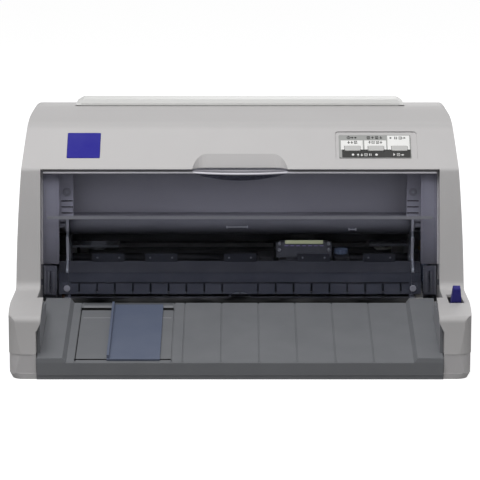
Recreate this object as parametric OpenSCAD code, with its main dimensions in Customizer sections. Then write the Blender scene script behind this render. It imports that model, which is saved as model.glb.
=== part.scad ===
// Desktop dot matrix printer with a flat front paper tray, a smoked front cover and a
// tractor feed at the rear. Millimetres, +Z up, the front faces -Y, and the origin is on
// the desk under the middle of the body. "From the front" sizes run back from the front face.

/* [Body] */
// Width over the widest part of the side walls
body_w = 384.5; // [380:0.5:390]
// Depth from the front lip to the rear wall
body_d = 280; // [277:0.5:290]
// Height of the housing's roof above the desk
roof_z = 198; // [197:0.5:203]
// Thickness of the moulded housing walls
wall = 2.5; // [2:0.1:3]
// Height of the rubber feet
foot_h = 3; // [2:0.5:4]
// Radius of the rubber feet
foot_r = 8; // [6:0.5:10]
// Height of the joint between the lower and the upper case
seam_z = 21; // [20:0.5:22]
// How much the side walls draw in at the roof
side_lean = 8.5; // [6:0.5:10]
// How much each side draws in at the front corners
front_draw = 4.6; // [3:0.2:6]

/* [Front] */
// Height of the side shelves
shelf_z = 52; // [50:0.5:54]
// From the front to the foot of the cover pillars
pillar_y = 115; // [113:0.5:117]
// From the front to the lower edge of the brow
brow_y = 131; // [130:0.5:133]
// Height of the brow's lower edge
brow_z = 153.3; // [152:0.1:155]
// From the front to the crease between brow and roof
crease_y = 169; // [166:0.5:172]
// Height of that crease
crease_z = 186.5; // [184:0.5:188]
// Width of the opening between the pillars
opening_w = 342.6; // [341:0.2:343.5]
// Half width of the finger recess at its lower edge
recess_w = 42; // [36:1:46]
// Depth of the finger recess
recess_d = 8.5; // [6:0.5:10]
// Radius of the finger recess's round ends
recess_r = 13; // [8:0.5:14]

/* [Tray] */
// Width of the paper tray
tray_w = 332.2; // [328:0.2:333]
// Length of the tray from the front lip
tray_l = 112; // [110:0.5:113]
// Height of the tray floor at the front lip
tray_z = 14; // [13:0.25:15]
// Slope of the tray floor in degrees
tray_slope = 13.3; // [12.5:0.1:13.5]
// Thickness of the tray
tray_t = 2.4; // [2:0.1:2.6]
// Width between the side blocks at floor level
floor_w = 284; // [280:1:288]
// Height of the side blocks above the floor
block_h = 4; // [3:0.25:5]
// Pitch of the paper lines moulded into the floor
line_pitch = 31.3; // [30:0.1:32]

/* [Covers] */
// Width of the front cover
cover_w = 339; // [336:0.5:340]
// Thickness of the front cover
cover_t = 2.2; // [1.8:0.1:2.6]
// Height of the front cover's hinge axis
hinge_z = 57; // [56:0.5:58]
// Radius of the front cover's hinge pins
hinge_pin_r = 2.5; // [2:0.1:3]
// How far the grip lip stands out of the front cover
grip_d = 9; // [6:0.5:10]
// Width of the rear cover at its foot
rear_cover_w = 292; // [280:1:300]
// How far the rear cover stands above the roof
rear_cover_h = 5; // [4:0.25:6]
// Radius of the rear cover's hinge pins
rear_pin_r = 2; // [1.6:0.1:2.4]

/* [Controls] */
// Width of the control panel
panel_w = 70.6; // [68:0.2:72]
// Height of the control panel along the brow
panel_l = 33.6; // [32:0.2:34]
// Depth of the recess that holds the control panel
panel_d = 1.2; // [1:0.1:1.5]
// Distance of the control panel's middle from the centre line
panel_x = 117.8; // [110:0.2:130]
// Width of a button
button_w = 13.6; // [12:0.2:15]
// Height of a button along the brow
button_l = 5.6; // [5:0.2:6]
// Pitch of the buttons
button_pitch = 20.3; // [18:0.1:21]
// How far a button can be pressed
button_travel = 1; // [0.6:0.1:1.2]
// Side of the bare badge plate
badge_w = 28.4; // [24:0.2:30]
// Distance of the badge's middle from the centre line
badge_x = -135; // [-140:0.5:-125]
// Distance of the release lever from the centre line
lever_x = 181; // [180:0.2:182]
// Length of the release lever from its pivot
lever_l = 50; // [46:0.5:52]

/* [Mechanism] */
// Distance between the inner faces of the side frames
frame_w = 298; // [296:0.5:300]
// Thickness of the steel side frames
frame_t = 2; // [1.5:0.1:2.2]
// Height of the flat paper path
path_z = 42; // [41.5:0.1:42.5]
// From the front to the print line
print_y = 165; // [164:0.5:166]
// From the print line to each pair of feed rollers
roller_reach = 18; // [17.8:0.1:18.4]
// Radius of the driven feed rollers
feed_r = 9; // [8:0.1:9.2]
// Radius of the pinch rollers
pinch_r = 5.5; // [5:0.1:5.7]
// Radius of the roller shafts
shaft_r = 3; // [2.5:0.1:3.2]
// Radius of the carriage guide shaft
guide_r = 5; // [4:0.1:5.2]
// Radial clearance of everything that turns or slides on a shaft
run_gap = 0.05; // [0.03:0.01:0.08]
// Gap between a seated piece and its seat
seat_gap = 0.3; // [0.2:0.05:0.4]
// Place of the carriage along its shaft as it stands at rest
carriage_x = 55.7; // [20:0.1:70]
// Module of the feed gears
gear_module = 1; // [1:0.01:1.02]
// Width of the feed gears
gear_w = 6; // [5:0.2:6.4]
// Distance of each tractor from the centre line
tractor_x = 100; // [80:1:108]
// From the front to the tractor drive shaft
tractor_y = 232; // [231:0.5:233]

/* [Hidden] */
$fn = 64;

grey = "#c4c4c0";
tray_grey = "#6a6b6e";
dark_grey = "#3c3e42";
black = "#1c1d20";
steel = "#a9adb0";
rubber_black = "#232323";
indigo = "#2f2c6b";
cut = 0.5;
arc_step = 15;

// ---- Outline helpers: points are [a, b, radius], listed anticlockwise ----
function yf(from_front) = from_front - body_d / 2;
function unit(v) = v / norm(v);
function mix(a, b, t) = a + (b - a) * t;
function flat(p) = [p[0], p[1]];
function inward(a, b) = let (u = unit(b - a)) [-u[1], u[0]];
function bend(a, b, c) = sign((b[0] - a[0]) * (c[1] - b[1]) - (b[1] - a[1]) * (c[0] - b[0]));
function neighbours(pts, i) =
  [flat(pts[(i + len(pts) - 1) % len(pts)]), flat(pts[i]), flat(pts[(i + 1) % len(pts)])];

// An outline moved inwards by d, with its corner radii kept concentric
function shrunk(pts, d) = [
  for (i = [0:len(pts) - 1])
    let (
      n = neighbours(pts, i),
      n1 = inward(n[0], n[1]),
      n2 = inward(n[1], n[2]),
      p = n[1] + (n1 + n2) * d / (1 + n1 * n2),
      r = pts[i][2]
    )
    [p[0], p[1], r == 0 ? 0 : max(0, r - bend(n[0], n[1], n[2]) * d)]
];

function corner_arc(a, b, c, r) =
  let (
    u = unit(a - b),
    w = unit(c - b),
    half = acos(u * w) / 2,
    centre = b + unit(u + w) * r / sin(half),
    p = b + u * r / tan(half) - centre,
    q = b + w * r / tan(half) - centre,
    start = atan2(p[1], p[0]),
    sweep = (atan2(q[1], q[0]) - start + 540) % 360 - 180,
    n = max(1, ceil(abs(sweep) / arc_step))
  )
  [for (i = [0:n]) centre + r * [cos(start + sweep * i / n), sin(start + sweep * i / n)]];

// An outline with each corner that has a radius turned into an arc
function rounded(pts) = [
  for (i = [0:len(pts) - 1])
    let (n = neighbours(pts, i))
    each pts[i][2] > 0 ? corner_arc(n[0], n[1], n[2], pts[i][2]) : [n[1]]
];

module outline(pts) {
  polygon(rounded(pts));
}
// Extrudes a [depth, height] outline across the width
module along_x(length) {
  rotate([90, 0, 90]) linear_extrude(length, center = true) children();
}
// Extrudes a [width, height] outline along the depth
module along_y(length) {
  rotate([90, 0, 0]) linear_extrude(length, center = true) children();
}
module rod_x(r, length) {
  rotate([0, 90, 0]) cylinder(r = r, h = length, center = true);
}
module block(x0, x1, y0, y1, z0, z1) {
  translate([x0, y0, z0]) cube([x1 - x0, y1 - y0, z1 - z0]);
}
module both_sides() {
  children();
  mirror([1, 0, 0]) children();
}
function box_outline(w, h, r) =
  [[-w / 2, -h / 2, r], [w / 2, -h / 2, r], [w / 2, h / 2, r], [-w / 2, h / 2, r]];

// ---- Housing form ----
seam_step = 0.4;
ledge_z = 124;
ledge_y = 266;
roof_y = 211;
roof_end_y = 246;
side_profile = [
  [yf(2), foot_h, 3],
  [yf(body_d - 2), foot_h, 3],
  [yf(body_d), seam_z, 0],
  [yf(body_d), ledge_z, 3],
  [yf(ledge_y), ledge_z + 5, 0],
  [yf(roof_end_y), roof_z, 14],
  [yf(roof_y), roof_z, 60],
  [yf(crease_y), crease_z, 14],
  [yf(brow_y), brow_z, 5],
  [yf(pillar_y), shelf_z, 8],
  [yf(2), shelf_z, 5],
  [yf(0), seam_z, 0]
];
belly_z = 35;
function half_w(z) =
  body_w / 2 - (z < belly_z
    ? 4 * pow((belly_z - z) / (belly_z - foot_h), 2)
    : side_lean * pow((z - belly_z) / (roof_z - belly_z), 2));
side_steps = 9;
function side_edge(from_z, to_z, r) = [
  for (i = [0:side_steps])
    let (z = mix(from_z, to_z, i / side_steps))
    [half_w(z), z, i == side_steps ? r : 0]
];
function mirrored(pts) = [for (i = [len(pts) - 1:-1:0]) [-pts[i][0], pts[i][1], pts[i][2]]];
front_half = concat([[half_w(foot_h), foot_h, 5]], side_edge(11, roof_z, 9));
front_profile = concat(front_half, mirrored(front_half));
draw_l = 100;
draw_steps = 6;
plan_half = concat(
  [[body_w / 2 + 0.6 - front_draw, 0, 12]],
  [for (i = [1:draw_steps])
    let (y = draw_l * i / draw_steps)
    [body_w / 2 + 0.6 - front_draw * pow(1 - y / draw_l, 2), y, 0]],
  [[body_w / 2 + 0.6, body_d, 12]]
);
plan_profile = [for (p = concat(plan_half, mirrored(plan_half))) [p[0], yf(p[1]), p[2]]];

module housing(shrink, z0, z1) {
  intersection() {
    along_x(body_w + 10) outline(shrunk(side_profile, shrink));
    along_y(body_d + 10) outline(shrunk(front_profile, shrink));
    translate([0, 0, z0]) linear_extrude(z1 - z0) outline(shrunk(plan_profile, shrink));
  }
}

brow_a = atan2(crease_z - brow_z, crease_y - brow_y);
brow_l = norm([crease_z - brow_z, crease_y - brow_y]);
// Puts its children on the brow: x across, y up the slope from the lower edge, z outwards
module on_brow(x, s) {
  translate([x, yf(brow_y) + s * cos(brow_a), brow_z + s * sin(brow_a)])
    rotate([brow_a, 0, 0]) children();
}
panel_s = brow_l / 2 + 1.2;
badge_s = brow_l / 2 + 1.8;
button_s = panel_s - 2.8;
button_xs = [for (i = [-1:1]) panel_x - 0.4 + i * button_pitch];
badge_d = 1;
plate_t = 0.8;
plate_margin = 4.2;

// Left and right walls of the tray bay, in the upper case
bay_w = tray_w + 2 * seat_gap;
cheek_y = 150;
inlet_x = -160;
inlet_z = 34;
switch_z = 62;
slot_w = 260;
slot_z0 = path_z - 6;
slot_z1 = path_z + 8;
lever_slot_w = 12.4;
lever_slot_y = [57, 92];
notch_y = 79;
overhang = 4;
overhang_t = 2.2;
cheek_w = 13.8;
cheek_set = 7.5;
cheek_z = hinge_z + 14;
recess_lean = 20;
recess_h = 20;
rear_open_w = rear_cover_w - 20;
rear_open_y = 217;
port_x = 140;
port_w = 58;
port_z = 14;
vent_count = 12;

module housing_cavity() {
  intersection() {
    housing(wall, seam_z - 1, roof_z);
    union() {
      block(-opening_w / 2, opening_w / 2, yf(pillar_y - 6), yf(body_d), 0, roof_z);
      block(-body_w / 2, body_w / 2, yf(cheek_y), yf(body_d), 0, roof_z);
      both_sides() block(bay_w / 2 + wall, body_w / 2, yf(0), yf(notch_y - wall), 0, roof_z);
      both_sides() block(opening_w / 2 + wall, body_w / 2, yf(0), yf(cheek_y + 1), 0, roof_z);
    }
  }
}

// A scoop with a steep back and round ends, which the cover's grip lip completes
module finger_recess(grow) {
  half = recess_w + grow;
  back = recess_d + grow;
  translate([0, yf(brow_y), brow_z]) rotate([-recess_lean, 0, 0]) translate([0, 0, -recess_h])
    linear_extrude(2 * recess_h) outline([
      [-half, -2 * recess_h, 0], [half, -2 * recess_h, 0],
      [half, back, recess_r + grow], [-half, back, recess_r + grow]
    ]);
}

module front_openings() {
  // Tray bay between the shelves
  block(-bay_w / 2, bay_w / 2, yf(-1), yf(pillar_y), 0, shelf_z + 8);
  // Notches in the shelves that the cover's lower corners swing in
  block(-opening_w / 2, opening_w / 2, yf(notch_y), yf(pillar_y), cover_foot[1] - 1.5, shelf_z + 8);
  // Opening that the front cover closes
  block(-opening_w / 2, opening_w / 2, yf(pillar_y - 3), yf(cheek_y), 0, brow_z);
}

module upper_case() {
  color(grey) difference() {
    union() {
      difference() {
        housing(0, seam_z, roof_z);
        difference() {
          housing_cavity();
          intersection() {
            finger_recess(wall);
            block(-body_w / 2, body_w / 2, yf(0), yf(body_d), brow_z - wall, roof_z);
          }
        }
        front_openings();
      }
      // The shelves' tops reach inwards over the tray's side walls, more so at the front
      intersection() {
        housing(0, seam_z, roof_z);
        both_sides() {
          translate([0, 0, shelf_z - overhang_t]) linear_extrude(overhang_t) polygon([
            [bay_w / 2 + 1, yf(0)], [bay_w / 2 + 1, yf(notch_y)], [bay_w / 2 - 0.2, yf(notch_y)],
            [bay_w / 2 - overhang, yf(6)], [bay_w / 2 - overhang, yf(0)]
          ]);
          translate([0, yf(4), 0]) along_y(8) polygon([
            [bay_w / 2 + 1, shelf_z - 12], [bay_w / 2 + 1, shelf_z - 1],
            [bay_w / 2 - overhang, shelf_z - 1], [bay_w / 2 - overhang, shelf_z - 5],
            [bay_w / 2 - 0.6, shelf_z - 12]
          ]);
        }
      }
      // Cheeks beside the mechanism, behind the front cover
      both_sides() translate([opening_w / 2 - cheek_w / 2 + 0.5, 0, 0]) along_x(cheek_w + 1) polygon([
        for (p = [[0, cheek_z], [wall, cheek_z], [wall, brow_z + 1], [0, brow_z + 1]])
          [yf(cover_front(p[1]) + cheek_set + p[0]), p[1]]
      ]);
      // Ears for the rear cover's pins
      both_sides() block(rear_ear_x, rear_ear_x + 5, yf(rear_pin_y - 7), yf(rear_pin_y + 2.6),
        rear_pin_z - 5, rear_pin_z + 5);
    }
    intersection() {
      finger_recess(0);
      block(-body_w / 2, body_w / 2, yf(0), yf(body_d), 0, roof_z);
    }
    on_brow(panel_x, panel_s) translate([0, 0, -panel_d]) linear_extrude(4)
      outline(box_outline(panel_w, panel_l, 3));
    for (x = button_xs) on_brow(x, button_s) cube([button_w + 0.6, button_l + 0.6, 20], center = true);
    on_brow(badge_x, badge_s) translate([0, 0, -badge_d]) linear_extrude(4)
      outline(box_outline(badge_w + 0.4, badge_w + 0.4, 1));
    // Hinge holes of the front cover, in the cheeks
    translate([0, hinge_y, hinge_z]) rod_x(hinge_pin_r + run_gap, opening_w + 2 * wall + 2);
    // Slot of the release lever
    block(lever_x - lever_slot_w / 2, lever_x + lever_slot_w / 2, yf(lever_slot_y[0]),
      yf(lever_slot_y[1]), shelf_z - 8, shelf_z + 5);
    // Opening under the rear cover
    block(-rear_open_w / 2, rear_open_w / 2, yf(rear_open_y), yf(ledge_y + 2),
      ledge_z + 6, roof_z + 5);
    translate([0, yf(rear_pin_y), rear_pin_z]) rod_x(rear_pin_r + run_gap, 2 * rear_ear_x + 14);
    // Rear paper slot, mains inlet, mains switch and interface
    block(-slot_w / 2, slot_w / 2, yf(body_d - 12), yf(body_d + 1), slot_z0, slot_z1);
    block(inlet_x - 14, inlet_x + 14, yf(body_d - 12), yf(body_d + 1), inlet_z - 10, inlet_z + 10);
    block(inlet_x - 11, inlet_x + 11, yf(body_d - 12), yf(body_d + 1), switch_z - 7.5, switch_z + 7.5);
    for (i = [0:vent_count - 1])
      translate([(i - (vent_count - 1) / 2) * 16, yf(body_d), 92]) cube([4, 20, 26], center = true);
  }
}

module lower_case() {
  color(grey) difference() {
    union() {
      difference() {
        housing(seam_step, foot_h, seam_z);
        housing(seam_step + wall, foot_h + wall, seam_z + 1);
        lower_front_cut();
      }
      // Posts that the upper case and the frames are screwed to
      for (x = [-1, 1], y = [yf(146), yf(255)])
        translate([x * (frame_w / 2 - 8), y, foot_h + 1]) cylinder(r = 5, h = frame_foot_z - foot_h - 1);
      // Ears of the release lever
      for (x = [-1, 1])
        translate([lever_x + x * 5.5 - 1, yf(lever_pivot_y) - 6, foot_h + 1])
          cube([2, 12, lever_pivot_z + 5 - foot_h - 1]);
      // Wall behind the tray's lip, and ribs that carry the tray
      block(-lip_wall_x, lip_wall_x, yf(lip_t + seat_gap), yf(lip_t + seat_gap + wall),
        foot_h + 1, tray_at(lip_t) - tray_t - seat_gap - 0.8);
      for (x = tray_rib_xs) translate([x, 0, 0]) along_x(2) polygon([
        [yf(9), foot_h + 1], [yf(tray_l - 1), foot_h + 1],
        [yf(tray_l - 1), tray_at(tray_l - 1) - tray_drop], [yf(9), tray_at(9) - tray_drop]
      ]);
      // Posts of the main board
      for (x = board_xs, y = board_ys)
        translate([x, y, foot_h + 1]) cylinder(r = 3, h = board_z - foot_h - 1);
    }
    // The tray's lip hangs in front of the case here
    block(-bay_w / 2, bay_w / 2, yf(-1), yf(lip_t + seat_gap), 0, seam_z + 1);
    both_sides() block(lip_wall_x, bay_w / 2, yf(-1), yf(lip_t + wall + 1), floor_z, seam_z + 1);
    translate([lever_x, yf(lever_pivot_y), lever_pivot_z]) rod_x(lever_pin_r + run_gap, 15.6);
    for (p = foot_places) translate([p[0], p[1], foot_h - 1]) cylinder(r = foot_r + 0.2, h = 2);
    for (p = screw_places) translate([p[0], p[1], 0]) {
      cylinder(r = 2.6, h = foot_h + 2.2);
      cylinder(r = 1.5, h = frame_foot_z + 1);
    }
    block(port_x - port_w / 2 - 0.5, port_x + port_w / 2 + 0.5, yf(body_d - 8), yf(body_d + 1),
      board_z + 1, seam_z + 1);
  }
}

lip_t = 2.5;
lip_wall_x = tray_w / 2 - tray_t - seat_gap;
floor_z = foot_h + seam_step + wall;
tray_rib_xs = [-150, -45, 45, 150];
tray_drop = tray_t / cos(tray_slope) + seat_gap;
tray_run = tan(tray_slope);
function tray_at(from_front) = tray_z + from_front * tray_run;
module lower_front_cut() {
  along_x(bay_w) polygon([
    [yf(-1), foot_h + 6],
    [yf(lip_t + wall + 2), tray_at(lip_t) - tray_t - seat_gap - 0.5],
    [yf(tray_l), seam_z + 10],
    [yf(-1), seam_z + 10]
  ]);
}

foot_places = [for (x = [-1, 1], y = [yf(24), yf(body_d - 26)]) [x * (body_w / 2 - 30), y]];
screw_places = [for (x = [-1, 1], y = [yf(146), yf(255)]) [x * (frame_w / 2 - 8), y]];

module rubber_feet() {
  color(rubber_black) for (p = foot_places)
    translate([p[0], p[1], 0]) cylinder(r = foot_r, h = foot_h + 1 - seat_gap);
}

module case_screws() {
  color(steel) for (p = screw_places) translate([p[0], p[1], 0]) difference() {
    union() {
      translate([0, 0, foot_h + 0.4]) cylinder(r = 2.4, h = 1.6);
      translate([0, 0, foot_h + 1]) cylinder(r = 1.4, h = frame_foot_z + frame_t - foot_h - 1);
    }
    translate([0, 0, foot_h]) cube([0.8, 3.4, 2], center = true);
    translate([0, 0, foot_h]) cube([3.4, 0.8, 2], center = true);
  }
}

// ---- Front tray and its edge guide ----
guide_x0 = -136;
guide_x1 = -56;
slot_front_y = 6.5;
slot_back_y = 100;
slot_t = 2.2;
slot_back_t = 5;
tray_wall_top = shelf_z - overhang_t - 0.8;
groove_w = 1.2;
groove_d = 0.7;
groove_xs = concat([guide_x0 + 1, guide_x1], [for (i = [-2:3]) (i + 0.5) * line_pitch]);

// Section square to the tray floor, with the floor's surface at 0
module tray_section() {
  side_x = tray_w / 2;
  step_x = floor_w / 2;
  difference() {
    polygon(concat(
      [[-side_x, -tray_z], [-side_x, block_h], [-step_x - 3, block_h], [-step_x, 0],
       [step_x, 0], [step_x + 3, block_h], [side_x, block_h], [side_x, -tray_z]],
      [[side_x - tray_t, -tray_z], [side_x - tray_t, block_h - tray_t],
       [step_x + 3.8, block_h - tray_t], [step_x + 0.8, -tray_t],
       [-step_x - 0.8, -tray_t], [-step_x - 3.8, block_h - tray_t],
       [-side_x + tray_t, block_h - tray_t], [-side_x + tray_t, -tray_z]]
    ));
    for (x = groove_xs) translate([x - groove_w / 2, -groove_d]) square([groove_w, 5]);
  }
}

module tray_frame() {
  translate([0, yf(0), tray_z]) rotate([tray_slope, 0, 0]) children();
}

module front_tray() {
  lip_x = tray_w / 2;
  color(tray_grey) difference() {
    union() {
      intersection() {
        tray_frame() translate([0, 140, 0]) rotate([90, 0, 0]) linear_extrude(150) tray_section();
        block(-lip_x, lip_x, yf(0.5), yf(tray_l), floor_z + seat_gap, shelf_z);
      }
      translate([0, yf(lip_t / 2), 0]) along_y(lip_t) polygon([
        [-lip_x, foot_h + 0.5], [lip_x, foot_h + 0.5], [lip_x, tray_z + block_h],
        [floor_w / 2 + 3, tray_z + block_h], [floor_w / 2, tray_z],
        [-floor_w / 2, tray_z], [-floor_w / 2 - 3, tray_z + block_h], [-lip_x, tray_z + block_h]
      ]);
      // Side walls that line the shelves
      both_sides() translate([lip_x - tray_t / 2, 0, 0]) along_x(tray_t) outline([
        [yf(9), tray_at(9), 0], [yf(notch_y - 1), tray_at(notch_y - 1), 0],
        [yf(notch_y - 1), tray_wall_top, 2], [yf(9), tray_wall_top, 5]
      ]);
    }
    block(guide_x0, guide_x1, yf(slot_front_y - slot_t / 2), yf(slot_front_y + slot_t / 2), 0, shelf_z);
    block(guide_x0, guide_x1, yf(slot_back_y - slot_back_t / 2), yf(slot_back_y + slot_back_t / 2),
      0, shelf_z);
  }
}

guide_plate_x0 = -107;
guide_plate_x1 = -65.5;
guide_t = 1.5;
fence_h = 5;
module edge_guide() {
  mid = (guide_plate_x0 + guide_plate_x1) / 2;
  color("#5b6274") {
    tray_frame() {
      block(guide_plate_x0 - 2, guide_plate_x1, 4, 108, seat_gap, seat_gap + guide_t);
      block(guide_plate_x0 - 2, guide_plate_x0, 5, 107, seat_gap, fence_h);
    }
    for (slot = [[slot_front_y, slot_t], [slot_back_y, slot_back_t]]) {
      half = slot[1] / 2 - 0.35;
      block(mid - 9, mid + 9, yf(slot[0] - half), yf(slot[0] + half),
        tray_at(slot[0]) - tray_t - 1.2, tray_at(slot[0]) + 1);
    }
  }
}

// ---- Front cover ----
hinge_y = yf(120.5);
cover_foot = [118, 43.8];
cover_top_z = brow_z - 1;
cover_a = atan2(brow_z - shelf_z, brow_y - pillar_y);
function cover_front(z) = cover_foot[0] + (z - cover_foot[1]) / tan(cover_a);
rail_w = 12;
rail_d = 5;
grip_w = recess_w;
module front_cover() {
  c0 = yf(cover_front(cover_foot[1]));
  c1 = yf(cover_front(cover_top_z));
  h = cover_top_z - cover_foot[1];
  edge = (cover_w - 2 * rail_w) / 2;
  grip_r = (grip_w * grip_w + grip_d * grip_d) / (2 * grip_d);
  color("#3a3d42", 0.55) difference() {
    union() {
      along_x(cover_w) polygon([
        [c0, cover_foot[1]], [c0 + cover_t, cover_foot[1]],
        [c1 + cover_t, cover_top_z], [c1, cover_top_z]
      ]);
      // Upper flange and grip lip
      block(-cover_w / 2, cover_w / 2, c1 - 0.6, c1 + cover_t + 3, cover_top_z - 2, cover_top_z);
      translate([0, c1, cover_top_z - 2]) linear_extrude(2) intersection() {
        translate([0, grip_r - grip_d]) circle(r = grip_r, $fn = 180);
        translate([-grip_w, -grip_d - 1]) square([2 * grip_w, grip_d + 2]);
      }
      // Side returns
      both_sides() translate([cover_w / 2 - 1.1, 0, 0]) along_x(2.2) outline([
        [c0, cover_foot[1], 0], [c0 + cover_t + 2, cover_foot[1], 0],
        [hinge_y + 5, hinge_z - 5, 4], [hinge_y + 5, hinge_z + 6, 4],
        [yf(cover_front(hinge_z + 18)) + rail_d, hinge_z + 18, 0],
        [c1 + rail_d, cover_top_z, 0], [c1, cover_top_z, 0]
      ]);
      both_sides() translate([edge, 0, 0]) along_x(1.6) polygon([
        [c0, cover_foot[1] + 4], [c0 + rail_d, cover_foot[1] + 4],
        [c1 + rail_d, cover_top_z], [c1, cover_top_z]
      ]);
      both_sides() translate([cover_w / 2 + 1.1, hinge_y, hinge_z]) rod_x(hinge_pin_r, 5);
    }
    // Slits that let the hinge tongues spring
    both_sides() for (x = [edge + 2.6, edge + 7.4])
      block(x - 0.4, x + 0.4, c0 - 2, c0 + cover_t + 6, hinge_z - 9, hinge_z + 9);
    // Lens-shaped notch at the middle of the lower edge
    translate([0, c0, cover_foot[1] - 9]) rotate([90, 0, 0]) cylinder(r = 14, h = 30, center = true);
  }
}

// ---- Rear cover ----
rear_pin_y = 259;
rear_pin_z = ledge_z + 18;
rear_ear_x = rear_open_w / 2;
module rear_cover() {
  top = roof_z + rear_cover_h;
  foot_x = rear_cover_w / 2;
  skin = [
    [yf(roof_y + 2), roof_z + seat_gap, 0],
    [yf(roof_end_y + 1), roof_z + seat_gap, 14],
    [yf(ledge_y + 1), ledge_z + 9, 0],
    [yf(ledge_y + 6), ledge_z + 9, 0],
    [yf(roof_end_y + 8), top, 15],
    [yf(roof_y + 5), top, 3]
  ];
  hollow = [
    [yf(roof_y + 2 + wall * 2), roof_z - 2, 0],
    [yf(roof_end_y), roof_z - 2, 0],
    [yf(ledge_y - 8), ledge_z + 8, 0],
    [yf(ledge_y + 3.4), ledge_z + 8, 0],
    [yf(roof_end_y + 6), top - wall, 13],
    [yf(roof_y + 2 + wall * 2), top - wall, 1]
  ];
  arm_x = rear_ear_x - 3;
  color("#cfd0cd") {
    difference() {
      intersection() {
        along_x(rear_cover_w) outline(skin);
        along_y(400) outline([
          [-foot_x, 0, 0], [foot_x, 0, 0], [foot_x, roof_z + 0.5, 0], [foot_x - 7, top + 0.1, 2],
          [-foot_x + 7, top + 0.1, 2], [-foot_x, roof_z + 0.5, 0]
        ]);
      }
      along_x(rear_cover_w - 14 - wall) outline(hollow);
      // Swings clear of the ledge: short at the foot, and narrower than the opening there
      block(-foot_x - 1, foot_x + 1, yf(ledge_y - 10), yf(body_d), 0, rear_pin_z - 1);
      both_sides() block(rear_open_w / 2 - 0.8, foot_x + 1, yf(ledge_y - 10), yf(body_d), 0, rear_pin_z + 8);
    }
    both_sides() {
      translate([arm_x, 0, 0]) along_x(2.4) outline([
        [yf(rear_pin_y - 3.5), rear_pin_z - 3.5, 2.5], [yf(rear_pin_y + 4), rear_pin_z - 3.5, 1],
        [yf(ledge_y + 2.6), rear_pin_z - 0.9, 0], [yf(ledge_y + 1), rear_pin_z + 5, 0],
        [yf(rear_pin_y - 3.5), rear_pin_z + 3.5, 2.5]
      ]);
      translate([arm_x + 2.4, yf(rear_pin_y), rear_pin_z]) rod_x(rear_pin_r, 7);
    }
  }
}

// ---- Controls ----
button_rise = 0.6;
button_flange_t = 1.5;
module button_form(x) {
  back = wall + seat_gap + button_flange_t;
  on_brow(x, button_s) translate([0, 0, -back]) {
    linear_extrude(back + button_rise) outline(box_outline(button_w, button_l, 1));
    linear_extrude(button_flange_t) outline(box_outline(button_w + 3, button_l + 3, 1));
  }
}
module left_button() { color("#b9bab8") button_form(button_xs[0]); }
module middle_button() { color("#b9bab8") button_form(button_xs[1]); }
module right_button() { color("#b9bab8") button_form(button_xs[2]); }

module control_panel() {
  color(dark_grey) difference() {
    on_brow(panel_x - 1.2, panel_s) translate([0, 0, -panel_d]) linear_extrude(plate_t)
      outline(box_outline(panel_w - 2 * plate_margin, panel_l - 2 * plate_margin + 0.6, 1));
    for (x = button_xs) on_brow(x, button_s) cube([button_w + 0.6, button_l + 0.6, 20], center = true);
  }
}

module badge_plate() {
  color(indigo) on_brow(badge_x, badge_s) translate([0, 0, -badge_d]) linear_extrude(badge_d + 0.2)
    outline(box_outline(badge_w, badge_w, 1));
}

lever_pivot_y = 75;
lever_pivot_z = 19;
lever_pin_r = 2.2;
lever_rest = -20;
lever_t = 7;
module release_lever() {
  color(indigo) translate([lever_x, yf(lever_pivot_y), lever_pivot_z]) rotate([-lever_rest, 0, 0]) {
    intersection() {
      along_x(2 * lever_t) outline([
        [-4, -4, 3.5], [4, -4, 3.5], [3.5, 24, 0], [4, lever_l - 12, 3], [3, lever_l, 2.5],
        [-3, lever_l, 2.5], [-4, lever_l - 12, 3], [-3.5, 24, 0]
      ]);
      along_y(20) outline([
        [-lever_t / 2, -5, 0], [lever_t / 2, -5, 0], [lever_t / 2, 24, 0], [lever_t / 2 + 1.2, 31, 3],
        [lever_t / 2 - 0.6, lever_l, 1], [-lever_t / 2 + 0.6, lever_l, 1],
        [-lever_t / 2 - 1.2, 31, 3], [-lever_t / 2, 24, 0]
      ]);
    }
    rod_x(lever_pin_r, 15);
  }
}

module power_switch() {
  color(black) translate([inlet_x, yf(body_d) - 2.6, switch_z]) {
    along_x(21.4) outline([
      [-7, -5, 1], [0.4, -6.4, 0.6], [0.2, 0, 0], [2.2, 6.2, 0.6], [-7, 5, 1]
    ]);
    translate([0, -3, 0]) rod_x(1.5, 21.8);
  }
}

module power_inlet() {
  w = 27.4;
  h = 19.4;
  color(black) translate([inlet_x, yf(body_d) - 7.2, inlet_z]) {
    difference() {
      along_y(14) outline(box_outline(w, h, 2));
      translate([0, 4, 0]) along_y(14) outline(box_outline(w - 5, h - 6, 3));
    }
    for (p = [[-7, 0.6], [7, 0.6], [0, 4.4]]) translate([p[0], 0, p[1]]) cube([2, 10, 3], center = true);
  }
}

module parallel_port() {
  w = port_w - 6;
  z = board_z + board_t + seat_gap;
  color(steel) difference() {
    block(port_x - w / 2, port_x + w / 2, yf(body_d - 14), yf(body_d - 1), z, seam_z - 1.5);
    block(port_x - w / 2 + 3, port_x + w / 2 - 3, yf(body_d - 9), yf(body_d), z + 2, seam_z - 3.5);
  }
  color(black) block(port_x - w / 2 + 7, port_x + w / 2 - 7, yf(body_d - 10), yf(body_d - 3),
    z + 3.6, seam_z - 5.1);
}

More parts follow.
